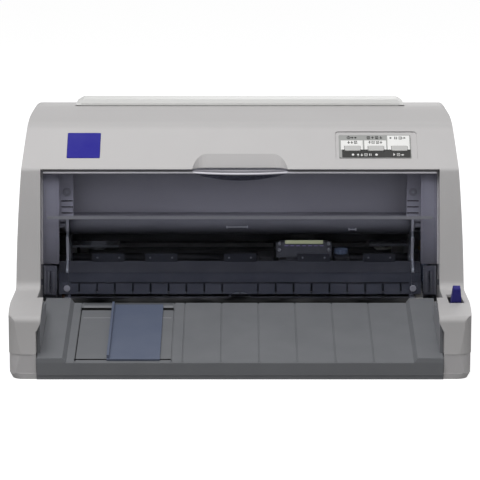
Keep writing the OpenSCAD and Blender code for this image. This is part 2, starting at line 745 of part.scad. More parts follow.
// ---- Boards ----
board_z = 8;
board_t = 1.6;
board_x0 = -125;
board_x1 = 130;
board_y0 = 158;
board_y1 = 274;
board_xs = [board_x0 + 7, board_x1 - 7];
board_ys = [yf(board_y0 + 7), yf(board_y1 - 26)];
module main_board() {
  top = board_z + board_t;
  color("#2f5d3a") translate([0, 0, seat_gap])
    block(board_x0, board_x1, yf(board_y0), yf(board_y1), board_z, top);
  color(black) translate([0, 0, seat_gap]) {
    for (i = [0:3]) block(-90 + i * 42, -62 + i * 42, yf(196), yf(210), top, top + 3);
    block(-30, 6, yf(222), yf(258), top, top + 4);
    for (i = [0:4]) translate([84 + i * 9, yf(218), top]) cylinder(r = 3.2, h = 7);
  }
}

psu_side_gap = 10.5;
module power_supply() {
  x0 = psu_side_gap - body_w / 2;
  x1 = -frame_w / 2 - frame_t - 3;
  z0 = floor_z + seat_gap;
  color("#8a8f93") {
    block(x0, x1, yf(158), yf(250), z0, z0 + 1.6);
    block(x0 + 2, x1 - 3, yf(166), yf(204), z0 + 1.6, 56);
    block(x0 + 6, x1 - 7, yf(160), yf(210), z0 + 1.6, 44);
  }
  color(black) for (y = [218, 234]) translate([(x0 + x1) / 2, yf(y), z0 + 1.6]) cylinder(r = 6.5, h = 26);
}

// ---- Frames and fixed parts of the mechanism ----
frame_foot_z = 12;
front_roller_y = print_y - roller_reach;
rear_roller_y = print_y + roller_reach;
roller_z = path_z - feed_r;
pinch_z = path_z + pinch_r + 0.3;
pinch_shaft_r = 1.5;
guide_y = 197;
guide_z = 63;
rail_y = 190;
rail_z = [80, 92];
rail_t = 1.6;
belt_y = 213;
belt_z = 66;
belt_w = 6;
belt_t = 1.2;
pulley_r = 6;
pulley_x = 128;
bracket_z = 73;
tractor_z = path_z - 9;
support_y = tractor_y + 20;
tractor_shaft_r = 3;
stay_y = 176;
stay_z = 97.5;
stay_r = 8.5;

// Gear train: places worked out from the pitch circles
roller_teeth = 24;
transfer_teeth = 20;
small_teeth = 16;
large_teeth = 36;
pinion_teeth = 12;
tractor_idler_teeth = 28;
gear_play = 0.25;
function pitch_r(teeth) = teeth * gear_module / 2;
function mesh(a, b) = pitch_r(a) + pitch_r(b) + gear_play;
function beside(from_y, to_y, reach, up) =
  [(from_y + to_y) / 2, roller_z + up * sqrt(pow(reach, 2) - pow((to_y - from_y) / 2, 2))];
front_gear_at = [front_roller_y, roller_z];
rear_gear_at = [rear_roller_y, roller_z];
tractor_gear_at = [tractor_y, tractor_z];
transfer_at = beside(front_roller_y, rear_roller_y, mesh(roller_teeth, transfer_teeth), 1);
reduction_a = 85;
reduction_at = rear_gear_at + mesh(roller_teeth, small_teeth) * [cos(reduction_a), sin(reduction_a)];
motor_a = 50;
motor_at = reduction_at + mesh(large_teeth, pinion_teeth) * [cos(motor_a), sin(motor_a)];
tractor_idler_at = beside(rear_roller_y, tractor_y, mesh(roller_teeth, tractor_idler_teeth), -1);
function direction(a, b) = atan2(b[1] - a[1], b[0] - a[0]);
// Turns the second gear so that a gap of its faces a tooth of the first
function in_mesh(teeth_a, turn_a, teeth_b, toward) =
  let (share = (toward - turn_a) * teeth_a / 360)
  toward + 180 + (share - 0.5) * 360 / teeth_b;
rear_turn = 0;
transfer_turn = in_mesh(roller_teeth, rear_turn, transfer_teeth, direction(rear_gear_at, transfer_at));
front_turn = in_mesh(transfer_teeth, transfer_turn, roller_teeth, direction(transfer_at, front_gear_at));
reduction_turn = in_mesh(roller_teeth, rear_turn, small_teeth, reduction_a);
pinion_turn = in_mesh(large_teeth, reduction_turn, pinion_teeth, motor_a);
tractor_idler_turn =
  in_mesh(roller_teeth, rear_turn, tractor_idler_teeth, direction(rear_gear_at, tractor_idler_at));
tractor_turn = in_mesh(
  tractor_idler_teeth, tractor_idler_turn, roller_teeth, direction(tractor_idler_at, tractor_gear_at));
gear_x0 = frame_w / 2 + frame_t + 1.5;
second_x0 = gear_x0 + gear_w + 1.5;
stub_r = 2.5;

module gear_profile(teeth, turn) {
  root = pitch_r(teeth) - 1.25 * gear_module;
  tip = pitch_r(teeth) + 0.9 * gear_module;
  step = 360 / teeth;
  rotate(turn) polygon([
    for (i = [0:teeth - 1])
      each [
        for (p = [[root, -0.34], [pitch_r(teeth), -0.22], [tip, -0.1],
                  [tip, 0.1], [pitch_r(teeth), 0.22], [root, 0.34]])
          p[0] * [cos(step * (i + p[1])), sin(step * (i + p[1]))]
      ]
  ]);
}
module gear_at(place, x0, width, teeth, turn, bore) {
  translate([x0 + width / 2, yf(place[0]), place[1]]) along_x(width) difference() {
    gear_profile(teeth, turn);
    circle(r = bore);
  }
}
module stub_at(place, length) {
  x0 = frame_w / 2;
  translate([x0 + length / 2, yf(place[0]), place[1]]) rod_x(stub_r, length);
}

// Plate of a side frame, drawn for the right side
module frame_plate() {
  translate([frame_w / 2 + frame_t / 2, 0, 0]) difference() {
    along_x(frame_t) outline([
      [yf(139), frame_foot_z + seat_gap, 2], [yf(262), frame_foot_z + seat_gap, 2],
      [yf(262), 54, 8], [yf(230), 86, 10], [yf(214), 108, 8], [yf(150), 108, 6],
      [yf(150), 72, 4], [yf(139), 64, 4]
    ]);
    for (p = [front_gear_at, rear_gear_at])
      translate([0, yf(p[0]), p[1]]) rod_x(shaft_r + run_gap, 10);
    for (y = [front_roller_y, rear_roller_y])
      translate([0, yf(y), pinch_z]) rod_x(pinch_shaft_r + run_gap, 10);
    translate([0, yf(guide_y), guide_z]) rod_x(guide_r + run_gap, 10);
    for (y = [tractor_y, support_y]) translate([0, yf(y), tractor_z]) rod_x(tractor_shaft_r + run_gap, 10);
    // Window that lightens the plate
    along_x(10) outline([[yf(158), 66, 4], [yf(180), 66, 4], [yf(180), 84, 4], [yf(158), 84, 4]]);
  }
  foot_x = frame_w / 2 - 16;
  difference() {
    block(foot_x, frame_w / 2 + frame_t, yf(141), yf(260), frame_foot_z + seat_gap,
      frame_foot_z + seat_gap + frame_t);
    for (y = [146, 255]) translate([frame_w / 2 - 8, yf(y), frame_foot_z]) cylinder(r = 1.5, h = 9);
  }
}

module right_side_frame() {
  color(steel) {
    frame_plate();
    block(pulley_x - 12, frame_w / 2 + 0.2, yf(belt_y - 10), yf(belt_y + 10),
      bracket_z, bracket_z + frame_t);
    translate([pulley_x, yf(belt_y), belt_z - 4]) cylinder(r = 2, h = bracket_z - belt_z + 4.5);
    stub_at(transfer_at, frame_t + 1.5 + gear_w + 1);
    stub_at(reduction_at, frame_t + 3 + 2 * gear_w + 1);
    stub_at(tractor_idler_at, frame_t + 1.5 + gear_w + 1);
  }
}
module left_side_frame() {
  color(steel) {
    mirror([1, 0, 0]) frame_plate();
    difference() {
      block(-frame_w / 2 - 0.2, -pulley_x + 20, yf(belt_y - 17), yf(belt_y + 20),
        bracket_z, bracket_z + frame_t);
      translate([-pulley_x, yf(belt_y), bracket_z - 1]) cylinder(r = 6, h = 5);
    }
  }
}

mid_w = frame_w - 2 * seat_gap;
roof_under = crease_z + (roof_z - crease_z) * (191 - crease_y) / (roof_y - crease_y) - wall * 1.2;
module inner_panel() {
  color("#77787b") along_x(mid_w) polygon([
    [yf(184), 105.5], [yf(186), 104], [yf(191), 142], [yf(193), roof_under - 1],
    [yf(191), roof_under - 1.4], [yf(189), 142.6], [yf(184.2), 107.5]
  ]);
}

module cross_stay() {
  color(dark_grey) along_x(mid_w) translate([yf(stay_y), stay_z]) {
    difference() {
      circle(r = stay_r);
      circle(r = stay_r - 1.6);
      translate([0, -stay_r - 1]) square([stay_r + 1, stay_r + 1]);
    }
    translate([0, stay_r - 1.6]) square([6.5, 1.6]);
  }
}

slot_pitch = 15.5;
slot_count = 9;
bracket_xs = [-114.5, -68.5, 0, 64, 121];
module paper_guide() {
  color(dark_grey) {
    difference() {
      along_x(mid_w) polygon([
        [yf(134.6), path_z + 1.5], [yf(136.4), path_z + 1.5], [yf(139.2), 53], [yf(139.8), 61],
        [yf(147.2), 68.6], [yf(147.2), 70.4], [yf(146), 70.4], [yf(138), 62], [yf(137.4), 53.4]
      ]);
      for (i = [1:slot_count]) both_sides()
        block(i * slot_pitch - 1.1, i * slot_pitch + 1.1, yf(134), yf(140), path_z + 3, 52.4);
    }
    for (x = bracket_xs) block(x - 14, x + 14, yf(145.4), yf(147.2), 70, 77);
    block(-mid_w / 2, mid_w / 2, yf(tray_l + 2), yf(137), path_z - 2.6, path_z - 0.8);
    both_sides() translate([mid_w / 2 - 1, 0, 0]) along_x(2) polygon([
      [yf(130), path_z - 2.6], [yf(137.8), path_z - 2.6], [yf(138.4), 54], [yf(137.2), 54],
      [yf(134.6), path_z + 1]
    ]);
  }
}

module platen() {
  color(black) along_x(mid_w) polygon([
    [yf(print_y - 3), frame_foot_z + 8], [yf(print_y + 3), frame_foot_z + 8],
    [yf(print_y + 3), path_z - 5], [yf(print_y + 7.5), path_z - 4],
    [yf(print_y + 7.5), path_z - 1], [yf(print_y - 7.5), path_z - 1],
    [yf(print_y - 7.5), path_z - 4], [yf(print_y - 3), path_z - 5]
  ]);
}

module guide_shaft() {
  color(steel) translate([0, yf(guide_y), guide_z]) difference() {
    rod_x(guide_r, frame_w + 2 * frame_t + 2.6);
    both_sides() translate([frame_w / 2 + frame_t + 0.7, 0, 0]) difference() {
      rod_x(guide_r + 1, 0.6);
      rod_x(guide_r - 0.8, 2);
    }
  }
}
module guide_rail() {
  color(steel) {
    block(-mid_w / 2, mid_w / 2, yf(rail_y), yf(rail_y + rail_t), rail_z[0], rail_z[1]);
    block(-mid_w / 2, mid_w / 2, yf(rail_y - 4.5), yf(rail_y + rail_t), rail_z[1] - rail_t, rail_z[1]);
  }
}
module tractor_support_shaft() {
  color(steel) translate([0, yf(support_y), tractor_z]) rod_x(tractor_shaft_r, frame_w + 2 * frame_t + 3);
}

module belt_loop(r) {
  for (x = [-1, 1]) translate([x * pulley_x, 0]) circle(r = r);
  square([2 * pulley_x, 2 * r], center = true);
}
module timing_belt() {
  color(black) translate([0, yf(belt_y), belt_z - belt_w / 2]) linear_extrude(belt_w) difference() {
    belt_loop(pulley_r + 0.4 + belt_t);
    belt_loop(pulley_r + 0.4);
  }
}
module pulley(x, bore) {
  translate([x, yf(belt_y), belt_z - belt_w / 2 - 0.4]) difference() {
    union() {
      cylinder(r = pulley_r, h = belt_w + 0.8);
      translate([0, 0, -1]) cylinder(r = pulley_r + 2, h = 0.9);
      translate([0, 0, belt_w + 0.9]) cylinder(r = pulley_r + 2, h = 0.9);
      translate([0, 0, -1]) cylinder(r = pulley_r - 1, h = belt_w + 2.8);
    }
    for (i = [0:11])
      rotate(i * 30) translate([pulley_r, 0, -0.05]) cylinder(r = 0.7, h = belt_w + 0.9, $fn = 16);
    translate([0, 0, -3]) cylinder(r = bore, h = belt_w + 8);
  }
}
module drive_pulley() {
  color(steel) {
    pulley(-pulley_x, 1.4);
    translate([-pulley_x, yf(belt_y), belt_z - 4]) cylinder(r = 1.5, h = bracket_z - belt_z + 14);
  }
}
module idler_pulley() { color("#d8d8d2") pulley(pulley_x, 2 + run_gap); }

carriage_motor_r = 18;
module carriage_motor() {
  z0 = bracket_z + frame_t + seat_gap;
  color("#8a8f93") translate([-pulley_x, yf(belt_y), z0]) difference() {
    union() {
      cylinder(r = carriage_motor_r, h = 26);
      translate([0, 0, 26]) cylinder(r = 6, h = 2);
      translate([0, 0, -seat_gap - 1]) cylinder(r = 5.6, h = 2);
    }
    translate([0, 0, -2]) cylinder(r = 1.5 + run_gap, h = 12);
  }
}

feed_motor_r = 20;
module feed_motor() {
  x0 = second_x0 + gear_w + 1.5;
  color("#8a8f93") {
    difference() {
      union() {
        translate([x0 + 9, yf(motor_at[0]), motor_at[1]]) rod_x(feed_motor_r, 18);
        translate([x0 + 0.8, yf(motor_at[0]), motor_at[1]]) rod_x(feed_motor_r + 1.5, 1.6);
      }
      translate([x0, yf(motor_at[0]), motor_at[1]]) rod_x(1.5 + run_gap, 24);
    }
    for (p = [[17, -6], [-6, 17]])
      translate([(x0 + frame_w / 2 + frame_t + seat_gap) / 2, yf(motor_at[0] + p[0]), motor_at[1] + p[1]])
        rod_x(2.5, x0 - frame_w / 2 - frame_t - seat_gap + 0.4);
  }
}
module motor_pinion() {
  color("#c9a24a") {
    gear_at(motor_at, second_x0, gear_w, pinion_teeth, pinion_turn, 1.4);
    translate([second_x0 + gear_w / 2 + 3, yf(motor_at[0]), motor_at[1]]) rod_x(1.5, gear_w + 8);
  }
}
module transfer_gear() {
  color("#d8d8d2") gear_at(transfer_at, gear_x0, gear_w, transfer_teeth, transfer_turn, stub_r + run_gap);
}
module reduction_gear() {
  color("#6d7f95") {
    gear_at(reduction_at, gear_x0, gear_w + 1.6, small_teeth, reduction_turn, stub_r + run_gap);
    gear_at(reduction_at, second_x0, gear_w - 1, large_teeth, reduction_turn, stub_r + run_gap);
  }
}
module tractor_idler_gear() {
  color("#d8d8d2")
    gear_at(tractor_idler_at, gear_x0, gear_w, tractor_idler_teeth, tractor_idler_turn, stub_r + run_gap);
}

// ---- Rollers ----
roller_xs = [-118, -59, 0, 59, 118];
module feed_roller(y) {
  right = gear_x0 + gear_w + 1;
  left = -frame_w / 2 - frame_t - 3;
  translate([(left + right) / 2, yf(y), roller_z]) rod_x(shaft_r, right - left);
  for (x = roller_xs) translate([x, yf(y), roller_z]) rod_x(feed_r - 0.1, 18);
}
module pinch_rollers(y) {
  translate([0, yf(y), pinch_z]) {
    rod_x(pinch_shaft_r, frame_w + 2 * frame_t + 2);
    for (x = roller_xs) translate([x, 0, 0]) rod_x(pinch_r, 14);
  }
}
module front_feed_roller() { color(rubber_black) feed_roller(front_roller_y); }
module rear_feed_roller() { color(rubber_black) feed_roller(rear_roller_y); }
module front_pinch_rollers() { color("#b9bab8") pinch_rollers(front_roller_y); }
module rear_pinch_rollers() { color("#b9bab8") pinch_rollers(rear_roller_y); }
module front_feed_gear() {
  color("#d8d8d2") gear_at(front_gear_at, gear_x0, gear_w, roller_teeth, front_turn, shaft_r + 0.02);
}
module rear_feed_gear() {
  color("#d8d8d2") gear_at(rear_gear_at, gear_x0, gear_w, roller_teeth, rear_turn, shaft_r + 0.02);
}
module tractor_gear() {
  color("#d8d8d2")
    gear_at(tractor_gear_at, gear_x0, gear_w, roller_teeth, tractor_turn, tractor_shaft_r + 0.02);
}

// ---- Carriage ----
module on_carriage(y, z) {
  translate([carriage_x, yf(y), z]) children();
}
plate_z = 57;
module carriage() {
  clamp_y = belt_y - pulley_r - 0.4;
  color(black) difference() {
    union() {
      on_carriage(guide_y, guide_z) rod_x(guide_r + 3, 52);
      on_carriage(0, 0) {
        block(-26, 26, 150, rail_y + 6, plate_z, plate_z + 3);
        block(-26, 26, rail_y - 3, rail_y + 5, plate_z, rail_z[0] - 1);
        block(-10, 10, rail_y - 3, rail_y + 5, rail_z[0] - 4, rail_z[0] + 7);
        block(-5, 5, guide_y, clamp_y + 3, guide_z - 3, belt_z - belt_w / 2 - 0.4);
        block(-5, 5, clamp_y + 0.4, clamp_y + 2, guide_z - 3, belt_z + 3);
      }
    }
    on_carriage(guide_y, guide_z) rod_x(guide_r + run_gap, 80);
    on_carriage(0, 0) {
      block(-11, 11, rail_y - 0.3, rail_y + rail_t + 0.3, rail_z[0] - 0.5, rail_z[1]);
      block(-9, 9, print_y - 9, print_y + 9, plate_z - 1, plate_z + 4);
    }
  }
}
head_w = 43;
fin_count = 7;
fin_pitch = 3;
module print_head() {
  z0 = plate_z + 3 + seat_gap;
  color("#55585c") on_carriage(print_y, 0) {
    translate([0, 0, z0]) linear_extrude(fin_count * fin_pitch + 1) square([30, 22], center = true);
    for (i = [0:fin_count]) translate([0, 0, z0 + i * fin_pitch + 0.8]) cube([head_w, 26, 1.4], center = true);
    translate([0, 0, path_z + 7]) linear_extrude(z0 - path_z - 6.5) square([14, 14], center = true);
    translate([0, 0, path_z + 1.2]) linear_extrude(7) square([5, 10], center = true);
    translate([0, -13.8, z0 + 19]) cube([head_w + 5, 1.6, 13], center = true);
  }
}
module head_plate() {
  color("#b9c24a") on_carriage(print_y - 14.9, plate_z + 29.5) cube([33, 0.6, 3], center = true);
}
module head_screws() {
  color(steel) for (x = [-21.4, 21.4], z = [plate_z + 22.5, plate_z + 28])
    on_carriage(print_y - 15.1, z) translate([x, 0, 0]) rotate([90, 0, 0])
      cylinder(r = 1.5, h = 1, center = true);
}
module ribbon_cartridge() {
  z0 = plate_z + 3 + seat_gap;
  color(black) on_carriage(0, 0) difference() {
    union() {
      for (x = [-1, 1]) translate([x * 33, print_y + 3, z0]) linear_extrude(12)
        outline(box_outline(14, 30, 4));
      block(-40, 40, print_y - 17, print_y - 14.8, z0, z0 + 6);
      for (x = [-1, 1]) translate([x * 37.5, print_y - 13, z0]) linear_extrude(6)
        square([5, 8], center = true);
    }
    translate([33, print_y + 6, z0 + 4]) cylinder(r = 2 + run_gap, h = 20);
  }
}
module ribbon_knob() {
  z0 = plate_z + 15 + 2 * seat_gap;
  color("#3b5f9c") on_carriage(print_y + 6, 0) translate([33, 0, z0]) {
    difference() {
      cylinder(r = 6, h = 4);
      for (i = [0:11]) rotate(i * 30) translate([6.3, 0, -1]) cylinder(r = 0.8, h = 6, $fn = 16);
    }
    translate([0, 0, -7]) cylinder(r = 2, h = 8);
  }
}

// ---- Tractors: drawn at X 0, with the lid's hinge towards +X ----
tractor_half_w = 7.5;
lid_axis = [7.6, 46];
ear_spans = [[226, 229], [253, 256]];
module tractor_body() {
  difference() {
    union() {
      along_x(2 * tractor_half_w) {
        translate([yf(tractor_y), tractor_z]) circle(r = 8);
        translate([yf(support_y), tractor_z]) circle(r = 8);
        translate([yf(tractor_y), tractor_z - 8]) square([20, 16]);
      }
      for (s = ear_spans) block(lid_axis[0] - 1.9, lid_axis[0] + 1.9, yf(s[0]), yf(s[1]),
        tractor_z, lid_axis[1] + 1.6);
    }
    block(-3.6, 3.6, yf(tractor_y - 13), yf(tractor_y + 12.5), tractor_z - 15, tractor_z + 20);
    translate([0, yf(tractor_y), tractor_z]) rod_x(4.6, 40);
    translate([0, yf(support_y), tractor_z]) rod_x(tractor_shaft_r + run_gap, 40);
    translate([lid_axis[0], yf(tractor_y), lid_axis[1]]) rotate([90, 0, 0])
      cylinder(r = 1 + run_gap, h = 80, center = true);
  }
}
module tractor_lid() {
  x1 = lid_axis[0] - 2.6;
  difference() {
    union() {
      block(-7.5, x1, yf(224), yf(258), 44.6, 46.2);
      block(x1 - 0.5, lid_axis[0], yf(229.4), yf(252.6), 45, 46.6);
      block(-7.5, -6, yf(230), yf(250), 44.6, 49);
    }
    block(-2.5, 2.5, yf(227), yf(238), 40, 50);
  }
  translate([lid_axis[0], yf((226.4 + 255.6) / 2), lid_axis[1]]) rotate([90, 0, 0]) {
    cylinder(r = 1, h = 29.2, center = true);
    cylinder(r = 1.9, h = 23.2, center = true);
  }
}
pin_count = 8;
module sprocket_form() {
  translate([0, yf(tractor_y), tractor_z]) difference() {
    union() {
      rod_x(8.4, 6);
      for (i = [0:pin_count - 1]) rotate([(i + 0.5) * 360 / pin_count, 0, 0])
        cylinder(r = 1.3, h = 10.2, $fn = 24);
    }
    cube([10, 6.16, 6.16], center = true);
  }
}
module lock_lever_form() {
  translate([-tractor_half_w - seat_gap - 2, yf(support_y), tractor_z]) difference() {
    along_x(4) {
      circle(r = 6);
      outline([[-3, 0, 0], [3, 0, 0], [5, 19, 2], [1, 20, 2]]);
    }
    rod_x(tractor_shaft_r + run_gap, 10);
  }
}
module tractor_pair(side) {
  if (side > 0) translate([tractor_x, 0, 0]) children();
  else mirror([1, 0, 0]) translate([tractor_x, 0, 0]) children();
}
module left_tractor() { color("#5d6064") tractor_pair(-1) tractor_body(); }
module right_tractor() { color("#5d6064") tractor_pair(1) tractor_body(); }
module left_tractor_lid() { color(black) tractor_pair(-1) tractor_lid(); }
module right_tractor_lid() { color(black) tractor_pair(1) tractor_lid(); }
module left_sprocket() { color("#d8d8d2") tractor_pair(-1) sprocket_form(); }
module right_sprocket() { color("#d8d8d2") tractor_pair(1) sprocket_form(); }
module left_lock_lever() { color(indigo) tractor_pair(-1) lock_lever_form(); }
module right_lock_lever() { color(indigo) tractor_pair(1) lock_lever_form(); }

module tractor_drive_shaft() {
  right = gear_x0 + gear_w + 1;
  left = -frame_w / 2 - frame_t - 3;
  color(steel) translate([0, yf(tractor_y), tractor_z]) {
    cube([frame_w - 4, 6, 6], center = true);
    translate([(left + right) / 2, 0, 0]) rod_x(tractor_shaft_r, right - left);
  }
}

lower_case();
upper_case();
front_tray();
rubber_feet();
case_screws();
badge_plate();
control_panel();
inner_panel();
cross_stay();
paper_guide();
left_side_frame();
right_side_frame();
platen();
guide_shaft();
guide_rail();
timing_belt();
carriage_motor();
feed_motor();
tractor_support_shaft();
main_board();
power_supply();
power_inlet();
parallel_port();
front_cover();
rear_cover();
release_lever();
edge_guide();
left_button();
middle_button();
right_button();
power_switch();
carriage();
print_head();
head_plate();
head_screws();
ribbon_cartridge();
ribbon_knob();
drive_pulley();
idler_pulley();
front_feed_roller();
front_feed_gear();
rear_feed_roller();
rear_feed_gear();
front_pinch_rollers();
rear_pinch_rollers();
transfer_gear();
reduction_gear();
motor_pinion();
tractor_idler_gear();
tractor_drive_shaft();
tractor_gear();
left_tractor();
right_tractor();
left_sprocket();
right_sprocket();
left_tractor_lid();
right_tractor_lid();
left_lock_lever();
right_lock_lever();
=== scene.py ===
import logging
import math
from dataclasses import dataclass
from enum import Enum
from itertools import product

import bmesh
import bpy
from mathutils import Matrix, Vector


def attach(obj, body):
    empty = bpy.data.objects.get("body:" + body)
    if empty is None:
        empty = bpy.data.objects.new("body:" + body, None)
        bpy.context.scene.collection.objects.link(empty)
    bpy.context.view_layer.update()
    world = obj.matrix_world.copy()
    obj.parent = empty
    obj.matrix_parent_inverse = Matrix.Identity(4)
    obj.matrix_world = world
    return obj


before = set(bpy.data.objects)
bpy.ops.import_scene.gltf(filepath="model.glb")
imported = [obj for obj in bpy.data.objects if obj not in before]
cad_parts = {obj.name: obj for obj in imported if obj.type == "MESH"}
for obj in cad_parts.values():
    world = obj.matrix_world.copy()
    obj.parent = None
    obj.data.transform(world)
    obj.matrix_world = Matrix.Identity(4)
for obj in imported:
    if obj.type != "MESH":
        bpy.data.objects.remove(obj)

Socket = bpy.types.NodeSocket
Form = bmesh.types.BMesh
Span = tuple[float, float]
Point = tuple[float, float, float]
Outline = list[tuple[float, float]]
Slab = tuple[float, float, Outline]
Sizes = tuple[float, ...]

LOG = logging.getLogger("printer")
MM = 0.001
BODY_D = 280.0
BROW_Y, BROW_Z = 131.0, 153.3
COVER_FOOT_Y, COVER_FOOT_Z, COVER_TOP_Z = 118.0, 43.8, 152.3
PILLAR_Y, SHELF_Z = 115.0, 52.0
TRAY_Z, TRAY_SLOPE = 14.0, 13.3
CREASE_Y, CREASE_Z = 169.0, 186.5
BROW_ANGLE = math.atan2(CREASE_Z - BROW_Z, CREASE_Y - BROW_Y)
BROW_LENGTH = math.hypot(CREASE_Z - BROW_Z, CREASE_Y - BROW_Y)
FRAME_OUT = 151.6
CHEEK_X = 158.6
TO_FRONT = (math.pi / 2, 0.0, 0.0)
UP = (0.0, 0.0, 0.0)


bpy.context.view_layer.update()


def depth(from_front: float) -> float:
    """Turn a distance from the front face, in mm, into the frame's Y in mm."""
    return from_front - BODY_D / 2


def linear(hex_colour: str) -> Sizes:
    """Turn an sRGB colour such as #c6c6c3 into linear RGBA.

    Args:
        hex_colour: the colour as six hexadecimal digits after a hash.

    Returns:
        The linear red, green and blue, with an alpha of 1.
    """
    digits = hex_colour.lstrip("#")
    values = [int(digits[i:i + 2], 16) / 255 for i in (0, 2, 4)]
    curve = [v / 12.92 if v <= 0.04045 else ((v + 0.055) / 1.055) ** 2.4 for v in values]
    return (curve[0], curve[1], curve[2], 1.0)


def lighter(colour: tuple, share: float) -> tuple:
    """Return a colour moved towards white, or towards black where share is negative."""
    goal = 1.0 if share > 0 else 0.0
    return tuple(c + (goal - c) * abs(share) for c in colour[:3]) + (1.0,)


def linked(name: str, data: bpy.types.ID) -> bpy.types.Object:
    """Make an object of some data and link it to the scene."""
    made = bpy.data.objects.new(name, data)
    bpy.context.scene.collection.objects.link(made)
    return made


class Body(Enum):
    """The moving and fixed bodies that dressed pieces ride on."""

    CASE = "case"
    CARRIAGE = "carriage"
    COVER = "front_cover"
    REAR = "rear_cover"


class Slot(Enum):
    """The material slots, one named by each finish."""

    CASE = "case_grey"
    TRAY = "tray_grey"
    COVER_LIGHT = "cover_light_grey"
    SMOKED = "smoked_clear"
    GUIDE = "guide_blue_grey"
    DARK = "dark_plastic"
    BLACK = "black_plastic"
    INDIGO = "indigo_plastic"
    RUBBER = "rubber"
    BRIGHT = "bright_steel"
    ZINC = "zinc_steel"
    NATURAL = "natural_plastic"
    BLUE_GREY = "blue_grey_plastic"
    BRASS = "brass"
    BOARD = "board_green"
    HEAD = "head_casting"
    LABEL = "label_yellow_green"
    BUTTON = "button_grey"
    PANEL = "panel_plate"


class Nodes:
    """A node tree with a short call to add its nodes and join them."""

    def __init__(self, tree: bpy.types.NodeTree) -> None:
        """Start on a tree, which is emptied."""
        self.tree = tree
        tree.nodes.clear()

    def add(self, kind: str, links: dict[str | int, object] | None = None,
            **settings: object) -> bpy.types.Node:
        """Add a node.

        Args:
            kind: the node's Blender type.
            links: sockets or values for its inputs, by name or index.
            settings: its properties, by name.

        Returns:
            The new node.
        """
        node = self.tree.nodes.new(kind)
        for key, value in settings.items():
            setattr(node, key, value)
        for key, value in (links or {}).items():
            if isinstance(value, Socket):
                self.tree.links.new(value, node.inputs[key])
            else:
                node.inputs[key].default_value = value
        return node


class Graph(Nodes):
    """A material's node tree with the patterns that its finishes share."""

    def __init__(self, name: str) -> None:
        """Make an empty material named name."""
        self.material = bpy.data.materials.new(name)
        self.material.use_nodes = True
        super().__init__(self.material.node_tree)
        self.coords = self.add("ShaderNodeTexCoord").outputs["Object"]

    def noise(self, size_mm: float, stretch: Point = (1, 1, 1), detail: float = 2.0,
              rough: float = 0.5) -> Socket:
        """Add a noise pattern on object coordinates and return its value.

        Args:
            size_mm: the size of its blotches.
            stretch: how much longer they are along X, Y and Z.
            detail: the noise's octaves.
            rough: the share that the finer octaves keep.
        """
        place = self.add("ShaderNodeMapping", {"Vector": self.coords, "Scale": [1 / s for s in stretch]})
        return self.add("ShaderNodeTexNoise", {
            "Vector": place.outputs["Vector"], "Scale": 1 / (size_mm * MM), "Detail": detail,
            "Roughness": rough}).outputs["Fac"]

    def spread(self, value: Socket, low: float, high: float, start: float = 0.3, end: float = 0.7) -> Socket:
        """Map a pattern's values from start to end to numbers from low to high and return them."""
        return self.add("ShaderNodeMapRange", {"Value": value, "From Min": start, "From Max": end,
                                               "To Min": low, "To Max": high}).outputs["Result"]

    def mix(self, share: Socket | float, first: Socket | tuple, second: Socket | tuple,
            blend: str = "MIX") -> Socket:
        """Mix two colours, each a socket or RGBA, by a share and return the result."""
        return self.add("ShaderNodeMix", {"Factor": share, "A": first, "B": second},
                        data_type="RGBA", blend_type=blend).outputs["Result"]

    def with_painted_shade(self, colour: Socket, painted_shade: tuple[Span, ...]) -> Socket:
        """Darken a colour along the height, as painted shade, and return the result.

        Args:
            colour: the colour output.
            painted_shade: heights in mm with the share of the colour that is left there, from low to high.
        """
        low, high = painted_shade[0][0], painted_shade[-1][0]
        height = self.add("ShaderNodeSeparateXYZ", {"Vector": self.coords}).outputs["Z"]
        ramp = self.add("ShaderNodeValToRGB", {"Fac": self.spread(height, 0.0, 1.0, low * MM, high * MM)})
        stops = ramp.color_ramp.elements
        while len(stops) < len(painted_shade):
            stops.new(0.5)
        for stop, (z, share) in zip(stops, painted_shade):
            stop.position = (z - low) / (high - low)
            stop.color = (share, share, share, 1.0)
        return self.mix(1.0, colour, ramp.outputs["Color"], "MULTIPLY")

    def bump(self, height: Socket, depth_mm: float, **start: Socket) -> Socket:
        """Return a normal bumped by a height pattern, from the start normal, Normal, if there is one."""
        links = {"Strength": 1.0, "Distance": depth_mm * MM, "Height": height}
        return self.add("ShaderNodeBump", links | start).outputs["Normal"]

    def close(self, surface: Socket) -> bpy.types.Material:
        """Make a shader the material's surface and return the material."""
        self.add("ShaderNodeOutputMaterial", {"Surface": surface})
        return self.material


